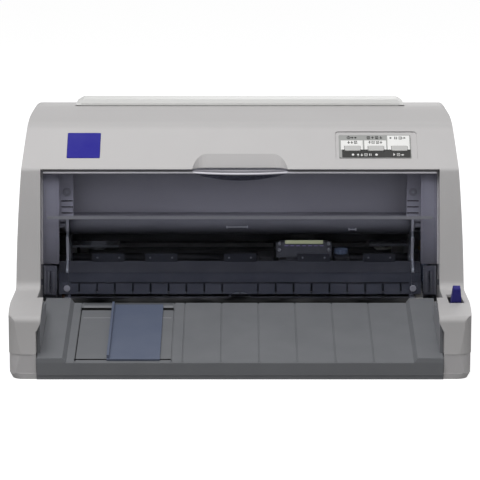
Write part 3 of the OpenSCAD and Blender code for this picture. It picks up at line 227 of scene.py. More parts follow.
@dataclass(frozen=True)
class Finish:
    """A moulded, painted, rubber or metal surface."""

    slot: Slot
    colour: str
    roughness: float = 0.5
    metallic: float = 0.0
    specular: float = 0.5
    grain_mm: float = 0.45
    grain_depth: float = 0.012
    grain_stretch: Point = (1.0, 1.0, 1.0)
    mottle: float = 0.02
    mottle_mm: float = 30.0
    speck: Span = (0.55, 0.8)
    speck_dark: float = -0.25
    edge_mm: float = 0.35
    coat: float = 0.0
    # painted shade: heights in mm with the share of the colour left there
    painted_shade: tuple[Span, ...] = ()

    def material(self, name: str) -> bpy.types.Material:
        """Build the material under a name, with its grain, drift of colour, soft edges and any painted shade
        along the height.
        """
        graph = Graph(name)
        base = linear(self.colour)
        cloud = graph.noise(self.mottle_mm, detail=4.0)
        grain = graph.noise(self.grain_mm, self.grain_stretch, 3.0, 0.6)
        pale, deep, dark = (lighter(base, share) for share in (self.mottle, -self.mottle, self.speck_dark))
        colour = graph.mix(graph.spread(cloud, 0.0, 1.0), deep, pale)
        colour = graph.mix(graph.spread(grain, 0.0, self.mottle * 2, *self.speck), colour, dark)
        # painted shade: the colour darkened along the height to stand for shade
        if self.painted_shade:
            colour = graph.with_painted_shade(colour, self.painted_shade)
        soft = graph.add("ShaderNodeBevel", {"Radius": self.edge_mm * MM}, samples=4).outputs["Normal"]
        rough = graph.spread(grain, self.roughness - 0.05, self.roughness + 0.06)
        return graph.close(graph.add("ShaderNodeBsdfPrincipled", {
            "Base Color": colour, "Roughness": rough, "Metallic": self.metallic,
            "Specular IOR Level": self.specular, "Coat Weight": self.coat,
            "Normal": graph.bump(grain, self.grain_depth, Normal=soft)}).outputs["BSDF"])


@dataclass(frozen=True)
class SmokedFinish:
    """A clear tinted plastic that lets lamps through."""

    slot: Slot
    tint: str
    lamp_tint: str
    roughness: float = 0.05
    ior: float = 1.07
    specular: float = 0.5
    cloud_mm: float = 60.0
    haze_mm: float = 1.2
    drift: float = 0.03

    def material(self, name: str) -> bpy.types.Material:
        """Build the material under a name."""
        graph = Graph(name)
        base = linear(self.tint)
        cloud, haze = graph.noise(self.cloud_mm), graph.noise(self.haze_mm, detail=3.0)
        shader = graph.add("ShaderNodeBsdfPrincipled", {
            "Base Color": graph.mix(graph.spread(cloud, 0.0, 1.0), lighter(base, -self.drift),
                                    lighter(base, self.drift)),
            "Roughness": graph.spread(haze, self.roughness - 0.02, self.roughness + 0.03),
            "Transmission Weight": 1.0, "IOR": self.ior, "Specular IOR Level": self.specular,
            "Normal": graph.bump(haze, 0.002)})
        clear = graph.add("ShaderNodeBsdfTransparent", {"Color": linear(self.lamp_tint)})
        rays = graph.add("ShaderNodeLightPath")
        both = {"Fac": rays.outputs["Is Shadow Ray"], 1: shader.outputs["BSDF"], 2: clear.outputs["BSDF"]}
        return graph.close(graph.add("ShaderNodeMixShader", both).outputs["Shader"])


FINISHES: dict[str, Finish | SmokedFinish] = {
    # painted shade: the case grey darkened along the height, everywhere but on the brow between 155 and 183
    # mm
    "case": Finish(Slot.CASE, "#cecccc", 0.58, specular=0.3, mottle=0.012, painted_shade=(
        (14, 0.82), (47, 0.76), (50, 0.82), (53, 0.87), (60, 0.82), (100, 0.81), (149, 0.86), (152, 0.88),
        (155, 1.0), (183, 1.0), (189, 0.84), (200, 0.86))),
    # painted shade: a darker copy of the case grey, for the lower case and the skirt
    "case_lower_shaded": Finish(Slot.CASE, "#c2c0c1", 0.58, specular=0.3, mottle=0.012),
    # painted shade: the tray darker below 15 mm, on its front lip
    "tray": Finish(Slot.TRAY, "#6d6f73", 0.56, grain_depth=0.016,
                   painted_shade=((8, 0.83), (13.6, 0.83), (15, 1.0), (50, 1.0))),
    "cover_light": Finish(Slot.COVER_LIGHT, "#d8d8d6", mottle=0.012),
    "smoked": SmokedFinish(Slot.SMOKED, "#bdbdc5", "#f0f0f4"),
    # painted highlight: a near-white finish for the bead along the cover's top edge
    "cover_edge_highlight": Finish(Slot.COVER_LIGHT, "#f2f0f8", 0.3, grain_depth=0.003),
    # painted sheen: a lighter strip where the smoked cover bends
    "cover_crease_sheen": Finish(Slot.COVER_LIGHT, "#707179", 0.4, specular=0.3, grain_depth=0.003),
    # painted light: the opaque grey of the grip lip's lit top and front
    "cover_lip_lit": Finish(Slot.COVER_LIGHT, "#96949c", 0.4, specular=0.3, grain_depth=0.003),
    # painted shadow: a darker smoke for the lens under the grip lip
    "smoked_lip_shadow": SmokedFinish(Slot.SMOKED, "#9b9ca6", "#d0d0d6"),
    # painted shade: the tongues darkened towards the bottom
    "tongue": Finish(Slot.DARK, "#4f5157", painted_shade=((46, 0.62), (70, 1.0))),
    # painted shadow: a dark strip in the gap between the brow and the cover's top
    "gap_shade": Finish(Slot.DARK, "#6c6a6e", 0.6),
    "post": Finish(Slot.BUTTON, "#c9c9cf"),
    "guide": Finish(Slot.GUIDE, "#5a6378", 0.42),
    # painted light: the inner wall, moulded of the case plastic, made lighter for the light it gets through
    # the cover
    "inner": Finish(Slot.BUTTON, "#ececf0"),
    # painted shade: the guide bar at half its colour above 62.5 mm, on its upper face where light falls
    "guide_bar": Finish(Slot.DARK, "#43474f", 0.55, specular=0.2, mottle=0.03,
                        painted_shade=((40, 0.9), (60, 1.0), (62.5, 0.5), (78, 0.5))),
    # painted light and shade: a pale skin on the shaded cheeks, darker towards the bottom
    "cheek_light_and_shade": Finish(Slot.DARK, "#b9b9bf", painted_shade=((71, 0.28), (100, 0.62), (150, 1.05))),
    # painted shade: the rounded stay darkened towards its bottom, light on top
    "stay": Finish(Slot.DARK, "#94969b", mottle=0.03, painted_shade=((89, 0.15), (97, 0.6), (106, 1.0))),
    # partly real, partly painted highlight: the pale strip on the stay's top stands for its light line; the
    # post bosses are pale too
    "pale_and_highlight": Finish(Slot.BUTTON, "#a8a8ae", 0.4, mottle=0.03),
    # painted shade: near-black plates and strips where slots, gaps and the paper's way lie in shade
    "shade_black": Finish(Slot.BLACK, "#08090a", 0.8, specular=0.0, mottle=0.05),
    # painted highlight: pale lines at the lit edges of a step and a slot on the tray
    "tray_highlight": Finish(Slot.TRAY, "#8f9094", 0.56),
    "tray_shade": Finish(Slot.TRAY, "#484a4e", 0.6),
    # painted light: a lighter skin on the shaded inner faces of the tray's walls
    "tray_wall_lit": Finish(Slot.TRAY, "#94959a", 0.56),
    "dark": Finish(Slot.DARK, "#33363b", 0.46, mottle=0.03),
    "black": Finish(Slot.BLACK, "#131416", specular=0.3, mottle=0.04),
    "indigo": Finish(Slot.INDIGO, "#2c297c", specular=0.2),
    "badge": Finish(Slot.INDIGO, "#302d9a", 0.6, specular=0.1, grain_depth=0.004),
    "dark_steel": Finish(Slot.BRIGHT, "#1e1f22", 0.4, 0.8, 0.2, grain_mm=0.5, grain_depth=0.003, mottle=0.03),
    "rubber": Finish(Slot.RUBBER, "#1d1d1e", 0.78, mottle=0.06, grain_mm=0.8, grain_depth=0.03),
    "bright": Finish(Slot.BRIGHT, "#c9ccce", 0.22, 1.0, grain_mm=0.12, grain_stretch=(40, 1, 1),
                     grain_depth=0.002, mottle=0.03),
    "zinc": Finish(Slot.ZINC, "#b3b8bb", 0.36, 1.0, grain_mm=2.0, grain_depth=0.004, mottle=0.07,
                   mottle_mm=9.0),
    "natural": Finish(Slot.NATURAL, "#dedccf", 0.4, mottle=0.03),
    "blue_grey": Finish(Slot.BLUE_GREY, "#64748a", 0.42, mottle=0.03),
    "zinc_light": Finish(Slot.ZINC, "#d4d6d8", 0.5, 0.6, grain_mm=1.0, grain_depth=0.003, mottle=0.05),
    "contact_violet": Finish(Slot.BUTTON, "#8f86b4", 0.45, mottle=0.04),
    "winding": Finish(Slot.BRASS, "#a8703a", 0.42, 0.6, grain_mm=0.5, grain_depth=0.05, mottle=0.08),
    "brass": Finish(Slot.BRASS, "#c8a45c", 0.3, 1.0, grain_mm=0.3, grain_depth=0.003, mottle=0.03),
    "board": Finish(Slot.BOARD, "#2c5e3a", 0.38, mottle=0.08, mottle_mm=3.0, coat=0.3),
    "head": Finish(Slot.HEAD, "#63666a", 0.4, 0.7, grain_mm=0.6, grain_depth=0.02, mottle=0.05),
    "label": Finish(Slot.LABEL, "#f2fbc0", 0.4, mottle=0.03, grain_depth=0.003),
    "button": Finish(Slot.BUTTON, "#c8c8c6", 0.42, mottle=0.015, grain_depth=0.006),
    "panel": Finish(Slot.PANEL, "#a3a4a2", grain_depth=0.004),
    "panel_white": Finish(Slot.COVER_LIGHT, "#fafaf8", mottle=0.01, grain_depth=0.003),
    "mark_dark": Finish(Slot.DARK, "#373736", 0.6, specular=0.2, grain_depth=0.002),
}

DRESSED_NODES: dict[str, str] = {
    "case_lower_shaded": "lower_case", "case": "upper_case", "tray": "front_tray", "badge": "badge_plate",
    "rubber": "rubber_feet timing_belt front_feed_roller rear_feed_roller",
    "zinc": "case_screws left_side_frame right_side_frame carriage_motor feed_motor power_supply "
            "parallel_port drive_pulley",
    "panel": "control_panel", "inner": "inner_panel", "stay": "cross_stay", "guide_bar": "paper_guide",
    "black": "platen power_inlet power_switch carriage ribbon_cartridge left_tractor_lid right_tractor_lid",
    "dark_steel": "guide_shaft guide_rail", "bright": "tractor_support_shaft head_screws tractor_drive_shaft",
    "board": "main_board", "smoked": "front_cover", "cover_light": "rear_cover", "guide": "edge_guide",
    "indigo": "release_lever left_lock_lever right_lock_lever", "head": "print_head", "label": "head_plate",
    "button": "left_button middle_button right_button", "blue_grey": "ribbon_knob reduction_gear",
    "natural": "idler_pulley front_feed_gear rear_feed_gear front_pinch_rollers rear_pinch_rollers "
               "transfer_gear tractor_idler_gear tractor_gear left_sprocket right_sprocket",
    "brass": "motor_pinion", "dark": "left_tractor right_tractor",
}


class Pattern(Nodes):
    """A Geometry Nodes tree that repeats a small form, with a named input for each size."""

    PLAIN = ("count", "turn")

    def __init__(self, name: str) -> None:
        """Start the tree with its geometry sockets and its ends."""
        super().__init__(bpy.data.node_groups.new(name, "GeometryNodeTree"))
        self.keys: dict[str, str] = {}
        for way in ("OUTPUT", "INPUT"):
            self.tree.interface.new_socket("Geometry", in_out=way, socket_type="NodeSocketGeometry")
        self.entry = self.add("NodeGroupInput")

    def size(self, name: str, kind: str = "Float") -> Socket:
        """Add a named input and return its socket inside the tree."""
        item = self.tree.interface.new_socket(name, in_out="INPUT", socket_type=f"NodeSocket{kind}")
        self.keys[name] = item.identifier
        return self.entry.outputs[name]

    def measured(self, key: str, value: object) -> object:
        """Turn an input's lengths from mm to metres; counts and angles stay as they are."""
        if key in self.PLAIN:
            return value
        return [v * MM for v in value] if isinstance(value, (tuple, list)) else value * MM

    def box(self, x: object, y: object, z: object) -> Socket:
        """Add a cube whose sides are sockets or numbers and return its mesh."""
        sides = self.add("ShaderNodeCombineXYZ", {0: x, 1: y, 2: z}).outputs[0]
        return self.add("GeometryNodeMeshCube", {"Size": sides}).outputs["Mesh"]

    def raised(self, form: Socket, height: Socket, factor: float) -> Socket:
        """Return a mesh moved up by a height times a factor."""
        up = self.add("ShaderNodeCombineXYZ", {2: self.times(height, factor)}).outputs[0]
        return self.add("GeometryNodeTransform", {"Geometry": form, "Translation": up}).outputs["Geometry"]

    def times(self, value: Socket, factor: float) -> Socket:
        """Return a size multiplied by a number."""
        return self.add("ShaderNodeMath", {0: value, 1: factor}, operation="MULTIPLY").outputs[0]

    def turn(self) -> Socket:
        """Add the input Turn, as angles, and return it as a rotation."""
        return self.add("FunctionNodeEulerToRotation", {0: self.size("turn", "Vector")}).outputs[0]

    def placed(self, form: Socket, points: Socket | None = None, **turn: Socket) -> Socket:
        """Put a form on points, or on the host's own, turned by Rotation, and return the instances."""
        return self.add("GeometryNodeInstanceOnPoints", {
            "Points": self.entry.outputs["Geometry"] if points is None else points,
            "Instance": form} | turn).outputs["Instances"]

    def close(self, form: Socket) -> "Pattern":
        """End the tree in real geometry with its material, and return the pattern."""
        real = self.add("GeometryNodeRealizeInstances", {"Geometry": form}).outputs["Geometry"]
        finish = self.size("finish", "Material")
        dressed = self.add("GeometryNodeSetMaterial", {"Geometry": real, "Material": finish})
        self.add("NodeGroupOutput", {0: dressed.outputs["Geometry"]})
        return self


def screw_pattern() -> Pattern:
    """Return screw heads with a cross recess, one at each point, turned by turn."""
    pattern = Pattern("screw_heads")
    radius, height, cross = (pattern.size(n) for n in ("radius", "height", "cross"))
    head = pattern.add("GeometryNodeMeshCylinder", {"Vertices": 20, "Radius": radius, "Depth": height})
    cuts = pattern.add("GeometryNodeJoinGeometry")
    long = pattern.times(radius, 1.2)
    for form in (pattern.box(long, cross, height), pattern.box(cross, long, height)):
        pattern.tree.links.new(pattern.raised(form, height, 1.0), cuts.inputs[0])
    cut = pattern.add("GeometryNodeMeshBoolean", {
        "Mesh 1": pattern.raised(head.outputs["Mesh"], height, 0.5), "Mesh 2": cuts.outputs[0]},
        operation="DIFFERENCE")
    return pattern.close(pattern.placed(cut.outputs["Mesh"], Rotation=pattern.turn()))


def row_pattern() -> Pattern:
    """Return a row of count blocks, one every step, that starts at each point."""
    pattern = Pattern("block_row")
    line = pattern.add("GeometryNodeMeshLine", {
        "Count": pattern.size("count", "Int"), "Offset": pattern.size("step", "Vector")})
    block = pattern.add("GeometryNodeMeshCube", {"Size": pattern.size("block", "Vector")})
    return pattern.close(pattern.placed(pattern.placed(block.outputs["Mesh"], line.outputs["Mesh"])))


def ring_pattern() -> Pattern:
    """Return a ring of count blocks at radius round each point, its axis turned by turn."""
    pattern = Pattern("block_ring")
    circle = pattern.add("GeometryNodeMeshCircle", {
        "Vertices": pattern.size("count", "Int"), "Radius": pattern.size("radius")})
    block = pattern.add("GeometryNodeMeshCube", {"Size": pattern.size("block", "Vector")})
    outward = pattern.add("FunctionNodeAlignRotationToVector",
                          {"Vector": pattern.add("GeometryNodeInputPosition").outputs[0]}, axis="X")
    ring = pattern.placed(block.outputs["Mesh"], circle.outputs["Mesh"], Rotation=outward.outputs["Rotation"])
    return pattern.close(pattern.placed(ring, Rotation=pattern.turn()))


def bridge(form: Form, rings: list[list[bmesh.types.BMVert]], capped: bool = True) -> None:
    """Join rings of vertices with faces.

    Args:
        form: the mesh.
        rings: the rings in their order, all of one length.
        capped: whether the first and the last ring are closed with a face.
    """
    for lower, upper in zip(rings, rings[1:]):
        for k in range(len(lower)):
            j = (k + 1) % len(lower)
            form.faces.new((lower[k], lower[j], upper[j], upper[k]))
    if capped:
        form.faces.new(list(reversed(rings[0])))
        form.faces.new(rings[-1])


class Workshop:
    """Makes each material once and turns finished meshes into pieces of the frame."""

    def __init__(self) -> None:
        """Start with no material made, and with the patterns for repeated forms."""
        self.made: dict[str, bpy.types.Material] = {}
        self.screws = screw_pattern()
        self.row = row_pattern()
        self.ring = ring_pattern()

    def material(self, finish: str) -> bpy.types.Material:
        """Return the material of a finish, which is built at its first use."""
        if finish not in self.made:
            self.made[finish] = FINISHES[finish].material(finish)
        return self.made[finish]

    def dress_node(self, node: str, finish: str) -> None:
        """Give a CAD node its finish on all its material slots."""
        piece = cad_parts[node]
        if not piece.material_slots:
            piece.data.materials.append(None)
        for slot in piece.material_slots:
            slot.material = self.material(finish)

    def piece(self, name: str, finish: str, form: Form, body: Body = Body.CASE,
              bevel_mm: float = 0.0) -> bpy.types.Object:
        """Turn a mesh in the frame's place into a finished piece.

        Args:
            name: the piece's name.
            finish: its finish's name.
            form: the mesh in mm, which is used up.
            body: the body it rides on.
            bevel_mm: the width of the bevel on its edges, or 0.

        Returns:
            The piece's object.
        """
        bmesh.ops.remove_doubles(form, verts=form.verts, dist=0.0005)
        bmesh.ops.recalc_face_normals(form, faces=form.faces)
        bmesh.ops.scale(form, vec=(MM, MM, MM), verts=form.verts)
        mesh = bpy.data.meshes.new(name)
        form.to_mesh(mesh)
        form.free()
        mesh.materials.append(self.material(finish))
        return self._finished(name, mesh, finish, body, bevel_mm)

    def slabs(self, name: str, finish: str, slabs: list[Slab], body: Body = Body.CASE, bevel_mm: float = 0.0,
              form: Form | None = None) -> bpy.types.Object:
        """Make a piece, as piece does, of prisms that run across the width.

        Args:
            slabs: each prism's two ends and its section, as distances from the front and heights.
            form: a mesh that the prisms are added to, or None.
        """
        form = bmesh.new() if form is None else form
        for x0, x1, section in slabs:
            bridge(form, [[form.verts.new((x, depth(y), z)) for y, z in section] for x in (x0, x1)])
        return self.piece(name, finish, form, body, bevel_mm)

    def grown(self, name: str, finish: str, pattern: Pattern, places: list[Point], body: Body = Body.CASE,
              **sizes: object) -> bpy.types.Object:
        """Run a Geometry Nodes pattern and turn its result into a finished piece.

        Args:
            name: the piece's name.
            finish: its finish's name.
            pattern: the pattern.
            places: the points that it uses, in mm, whose Y is a distance from the front.
            body: the body it rides on.
            sizes: the pattern's named inputs, with lengths in mm.

        Returns:
            The piece's object.
        """
        seed = bpy.data.meshes.new(f"{name}_places")
        seed.from_pydata([(x * MM, depth(y) * MM, z * MM) for x, y, z in places], [], [])
        host = linked(f"{name}_host", seed)
        modifier = host.modifiers.new("pattern", "NODES")
        modifier.node_group = pattern.tree
        for key, value in sizes.items():
            modifier[pattern.keys[key]] = pattern.measured(key, value)
        modifier[pattern.keys["finish"]] = self.material(finish)
        host.update_tag()
        view = bpy.context.evaluated_depsgraph_get()
        mesh = bpy.data.meshes.new_from_object(host.evaluated_get(view), depsgraph=view)
        bpy.data.objects.remove(host)
        bpy.data.meshes.remove(seed)
        return self._finished(name, mesh, finish, body, 0.0)

    def _finished(self, name: str, mesh: bpy.types.Mesh, finish: str, body: Body,
                  bevel_mm: float) -> bpy.types.Object:
        """Make a mesh's object ride its body, with bevelled edges where bevel_mm is above 0."""
        piece = linked(name, mesh)
        if bevel_mm > 0:
            bevel = piece.modifiers.new("edges", "BEVEL")
            bevel.width = bevel_mm * MM
            bevel.segments = 2
            bevel.limit_method = "ANGLE"
            bevel.harden_normals = False
        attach(piece, body.value)
        LOG.info("piece %s on %s in %s, %d faces", name, body.value, finish, len(mesh.polygons))
        return piece


@dataclass
class Camera:
    """The photograph's viewpoint."""

    place: Point = (0.0, -2.0857, 0.4767)
    tilt_degrees: float = 79.5
    lens_mm: float = 183.75
    sensor_mm: float = 36.0
    reach: float = 50.0

    def build(self) -> None:
        """Make the camera and set it as the scene's own."""
        data = bpy.data.cameras.new("view")
        data.lens = self.lens_mm
        data.sensor_width = self.sensor_mm
        data.clip_end = self.reach
        camera = linked("view", data)
        camera.location = self.place
        camera.rotation_euler = (math.radians(self.tilt_degrees), 0, 0)
        bpy.context.scene.camera = camera


@dataclass
class Studio:
    """A pale floor, soft lamps and a white surround."""

    sky: float = 0.25
    floor_half: float = 6.0
    floor_grey: float = 0.45
    floor_glow: float = 0.86
    lamps: tuple[tuple[str, Point, Point, float, float], ...] = (
        ("key", (-0.25, -0.8, 1.7), (0, 0.02, 0.1), 1.3, 22.5),
        ("fill", (0.9, -1.8, 1.0), (0, 0, 0.1), 1.2, 0.6),
        ("back", (0.4, 1.9, 0.9), (0, 0, 0.1), 1.2, 7.0))

    def build(self) -> None:
        """Make the world, the floor and the lamps."""
        self._world()
        self._floor()
        for lamp in self.lamps:
            self._lamp(*lamp)
        bpy.context.scene.view_settings.view_transform = "Standard"

    def _world(self) -> None:
        """Light the object with an even pale sky that the camera and glass see as white."""
        world = bpy.data.worlds.new("surround")
        world.use_nodes = True
        nodes = Nodes(world.node_tree)
        rays = nodes.add("ShaderNodeLightPath")
        share = rays.outputs["Is Camera Ray"]
        for ray in ("Is Glossy Ray", "Is Transmission Ray"):
            both = {0: share, 1: rays.outputs[ray]}
            share = nodes.add("ShaderNodeMath", both, operation="MAXIMUM").outputs[0]
        lit, seen = (nodes.add("ShaderNodeBackground", {"Color": (1, 1, 1, 1), "Strength": power}).outputs[0]
                     for power in (self.sky, 1.0))
        mix = nodes.add("ShaderNodeMixShader", {"Fac": share, 1: lit, 2: seen})
        nodes.add("ShaderNodeOutputWorld", {"Surface": mix.outputs[0]})
        bpy.context.scene.world = world

    def _floor(self) -> None:
        """Make a large pale floor that keeps the object's shadow."""
        form = bmesh.new()
        bmesh.ops.create_grid(form, x_segments=1, y_segments=1, size=self.floor_half)
        mesh = bpy.data.meshes.new("floor")
        form.to_mesh(mesh)
        form.free()
        floor = linked("floor", mesh)
        graph = Graph("floor")
        matt = graph.add("ShaderNodeBsdfDiffuse", {"Color": (self.floor_grey,) * 3 + (1,)})
        seen = graph.add("ShaderNodeLightPath").outputs["Is Camera Ray"]
        power = graph.add("ShaderNodeMath", {0: seen, 1: self.floor_glow}, operation="MULTIPLY")
        glow = graph.add("ShaderNodeEmission", {"Strength": power.outputs[0]})
        both = graph.add("ShaderNodeAddShader", {0: matt.outputs[0], 1: glow.outputs[0]})
        mesh.materials.append(graph.close(both.outputs[0]))

    def _lamp(self, name: str, place: Point, target: Point, size: float, power: float) -> None:
        """Make a square soft lamp at a place, facing a target, with its side in metres and power in watts."""
        data = bpy.data.lights.new(name, "AREA")
        data.size = size
        data.energy = power
        lamp = linked(name, data)
        lamp.location = place
        lamp.rotation_euler = (Vector(target) - Vector(place)).to_track_quat("-Z", "Y").to_euler()


def rect(x0: float, y0: float, x1: float, y1: float) -> Outline:
    """Return the outline of a rectangle, anticlockwise."""
    return [(x0, y0), (x1, y0), (x1, y1), (x0, y1)]


def brick(x0: float, x1: float, y0: float, y1: float, z0: float, z1: float) -> Slab:
    """Return a box as a slab, whose Y is a distance from the front."""
    return (x0, x1, rect(y0, z0, y1, z1))


def arc(x: float, y: float, radius: float, start: float, sweep: float, steps: int) -> Outline:
    """Return the points of an arc about x, y, from start degrees on through sweep degrees, with both ends."""
    angles = [math.radians(start + sweep * i / steps) for i in range(steps + 1)]
    return [(x + radius * math.cos(a), y + radius * math.sin(a)) for a in angles]


def disc(radius: float, count: int = 20) -> Outline:
    """Return the outline of a disc about the origin, anticlockwise."""
    return arc(0.0, 0.0, radius, 0, 360, count)[:-1]


def round_rect(half_w: float, y0: float, y1: float, radius: float, steps: int = 5) -> Outline:
    """Return the outline of a rectangle with round corners about the centre line, anticlockwise."""
    x, low, high = half_w - radius, y0 + radius, y1 - radius
    return [point for cx, cy, start in ((x, low, -90), (x, high, 0), (-x, high, 90), (-x, low, 180))
            for point in arc(cx, cy, radius, start, 90, steps)]


def across(x: float) -> Span:
    """Return a distance from the centre line on the left and on the right."""
    return (-x, x)


def both_sides(low: float, high: float) -> tuple[Span, Span]:
    """Return a span across the width and its mirror image."""
    return ((low, high), (-high, -low))


def cover_face(z: float) -> float:
    """Return how far the closed front cover's outer face is from the front at height z."""
    lean = (BROW_Y - PILLAR_Y) / (BROW_Z - SHELF_Z)
    return COVER_FOOT_Y + (z - COVER_FOOT_Z) * lean


def along_cover(foot: float, top: float, outer: float, inner: float) -> Outline:
    """Return the section of a plate along the front cover, from foot to top and from outer to inner."""
    return [(cover_face(z) + d, z) for z, d in ((foot, outer), (foot, inner), (top, inner), (top, outer))]


def tray_top(y: float) -> float:
    """Return the height of the tray's surface at a distance from the front."""
    return TRAY_Z + y * math.tan(math.radians(TRAY_SLOPE))


def on_tray(x0: float, x1: float, y0: float, y1: float, up: float, thick: float = 0.1) -> Slab:
    """Return a thin strip that lies on the tray, from up above its surface."""
    return (x0, x1, [(y, tray_top(y) + up + t) for y, t in ((y0, 0.0), (y1, 0.0), (y1, thick), (y0, thick))])


def on_brow(x: float, s: float) -> Matrix:
    """Return the place on the brow at x across and s up the slope from its lower edge."""
    y, z = depth(BROW_Y) + s * math.cos(BROW_ANGLE), BROW_Z + s * math.sin(BROW_ANGLE)
    return Matrix.Translation((x, y, z)) @ Matrix.Rotation(BROW_ANGLE, 4, "X")


def add_plate(form: Form, outline: Outline, low: float, high: float, place: Matrix | None = None) -> None:
    """Add a closed plate with a polygon outline to a mesh.

    Args:
        form: the mesh.
        outline: its outline in mm.
        low: the plate's underside.
        high: the plate's top.
        place: where the plate is put, or None.
    """
    rings = [[form.verts.new((x, y, z)) for x, y in outline] for z in (low, high)]
    bridge(form, rings)
    if place is not None:
        bmesh.ops.transform(form, matrix=place, verts=rings[0] + rings[1])


def add_cube(form: Form, low: Point, high: Point) -> None:
    """Add a box to a mesh, from its lowest to its highest corner in mm."""
    for vert in bmesh.ops.create_cube(form, size=1.0)["verts"]:
        vert.co = Vector((b + t) / 2 + c * (t - b) for b, t, c in zip(low, high, vert.co))


def add_boss(form: Form, place: Point, radius: float, height: float, count: int = 20) -> None:
    """Add a disc that faces the front, at a place whose Y is a distance from the front."""
    x, y, z = place
    add_plate(form, disc(radius, count), 0.0, height,
              Matrix.Translation((x, depth(y), z)) @ Matrix.Rotation(math.pi / 2, 4, "X"))


def add_tube(form: Form, path: list[Point], radius: float, sides: int = 8) -> None:
    """Add a closed tube along a level path to a mesh.

    Args:
        form: the mesh.
        path: its points in mm, all at one height.
        radius: the tube's radius in mm.
        sides: how many sides it has.
    """
    rings = []
    for i, point in enumerate(path):
        ahead = Vector(path[min(i + 1, len(path) - 1)]) - Vector(path[max(i - 1, 0)])
        side = ahead.normalized().cross(Vector((0, 0, 1)))
        rings.append([form.verts.new(Vector(point) + side * a + Vector((0, 0, b)))
                      for a, b in disc(radius, sides)])
    bridge(form, rings)


class Mark(Enum):
    """The plain shapes that the panel's pictograms are made of, as outlines in mm."""

    ARROW = ([(-1.2, 0.0), (1.2, 0.0), (0.0, 1.5)], rect(-0.3, -1.4, 0.3, 0.0))
    SHEET = tuple(rect(*sides) for sides in (
        (-1.3, -1.5, -0.9, 1.5), (0.9, -1.5, 1.3, 1.5), (-0.9, 1.1, 0.9, 1.5),
        (-0.9, -1.5, 0.9, -1.1), (-0.5, 0.2, 0.5, 0.5), (-0.5, -0.6, 0.5, -0.3)))
    DOT = (disc(1.0),)
    BAR = (rect(0.0, -2.0, 1.0, 2.0),)
    WEDGE = ([(0.0, -1.0), (1.0, 0.0), (0.0, 1.0)],)
    STEM = (rect(-0.2, 0.1, 0.2, 1.8),)
    TICK = (rect(-0.42, 1.0, 0.42, 1.45),)


@dataclass
class ControlPanel:
    """The face of the control panel: bare cells, a dark strip and plain pictograms."""

    shop: Workshop
    x: float = 116.6
    s: float = BROW_LENGTH / 2 + 1.2
    face: float = -0.4
    ink: float = 0.12
    buttons: Point = (-19.5, 0.8, 21.1)
    button_half: float = 7.1
    button_ends: Span = (-5.9, 0.3)
    cell_low: float = -3.7
    cells: tuple[tuple[str, float, float, float], ...] = (
        ("left", -29.4, -10.4, 6.7), ("middle", -9.1, 9.9, 6.7), ("right", 10.9, 30.1, 12.2))
    strip: Point = (-28.5, 30.6, -12.6)
    dark_marks: tuple[tuple[Mark, float, float, tuple[Span, ...]], ...] = (
        *((Mark.TICK, turn, 1.0, ((-22.6, 9.8),)) for turn in range(30, 331, 30)),
        (Mark.STEM, 0, 1.0, ((-22.6, 9.8),)), (Mark.DOT, 0, 0.9, ((-16.6, 9.8),)),
        (Mark.DOT, 0, 0.8, ((13.8, 9.4),)),
        (Mark.ARROW, -90, 1.0, ((-19.6, 9.8), (25.4, 9.4))), (Mark.ARROW, 0, 1.0, ((-1.8, 9.8), (-4.4, 4.4))),
        (Mark.ARROW, 180, 1.0, ((5.4, 9.8), (-22.6, 4.4), (-19.8, 4.4), (5.4, 4.4))),
        (Mark.SHEET, 0, 1.0, ((-5.4, 9.8), (1.8, 9.8), (-16.6, 4.4), (-1.4, 4.4), (2.4, 4.4), (22.2, 9.4))),
        (Mark.BAR, 0, 0.7, ((17.2, 9.4), (18.6, 9.4))))
    pale_marks: tuple[tuple[Mark, float, float, tuple[Span, ...]], ...] = (
        (Mark.DOT, 0, 1.15, ((-19.2, -9.6), (1.1, -9.6))), (Mark.ARROW, 0, 1.0, ((-14.8, -9.8),)),
        (Mark.ARROW, 180, 1.0, ((-11.6, -9.8),)), (Mark.ARROW, -90, 1.0, ((23.4, -9.8),)),
        (Mark.SHEET, 0, 1.0, ((-8.0, -9.6), (20.0, -9.6))), (Mark.BAR, 0, 0.6, ((-5.2, -9.6), (-3.9, -9.6))),
        (Mark.WEDGE, 0, 1.6, ((15.6, -9.4),)))

    def build(self) -> None:
        """Make the cells, the strip and their pictograms."""
        foot, top = self.button_ends
        for (name, x0, x1, end), button in zip(self.cells, self.buttons):
            left, right = button - self.button_half, button + self.button_half
            self._print(f"panel_cell_{name}", "panel_white", [
                (x0, self.cell_low, left, top), (right, self.cell_low, x1, top), (x0, top, x1, end)])
        x0, x1, low = self.strip
        edges = [x0] + [b + d for b in self.buttons for d in across(self.button_half)] + [x1]
        self._print("panel_strip", "mark_dark", [(x0, low, x1, foot)] + [
            (left, foot, right, self.cell_low) for left, right in zip(edges[0::2], edges[1::2])])
        for name, finish, marks in (("panel_pictograms", "mark_dark", self.dark_marks),
                                    ("panel_marks", "panel_white", self.pale_marks)):
            form = bmesh.new()
            for mark, turn, size, places in marks:
                turned = Matrix.Rotation(math.radians(turn), 4, "Z") @ Matrix.Diagonal((size, size, 1, 1))
                for (x, s), outline in product(places, mark.value):
                    place = self._layer(1) @ Matrix.Translation((x, s, 0)) @ turned
                    add_plate(form, outline, 0.0, self.ink, place)
            self.shop.piece(name, finish, form)

    def _layer(self, level: int) -> Matrix:
        """Return the place of a layer of print on the panel's face."""
        return on_brow(self.x, self.s) @ Matrix.Translation((0, 0, self.face + level * self.ink))

    def _print(self, name: str, finish: str, areas: list[Sizes]) -> None:
        """Make a piece of printed rectangles, in mm from the panel's middle."""
        form = bmesh.new()
        for area in areas:
            add_plate(form, rect(*area), 0.0, self.ink, self._layer(0))
        self.shop.piece(name, finish, form)


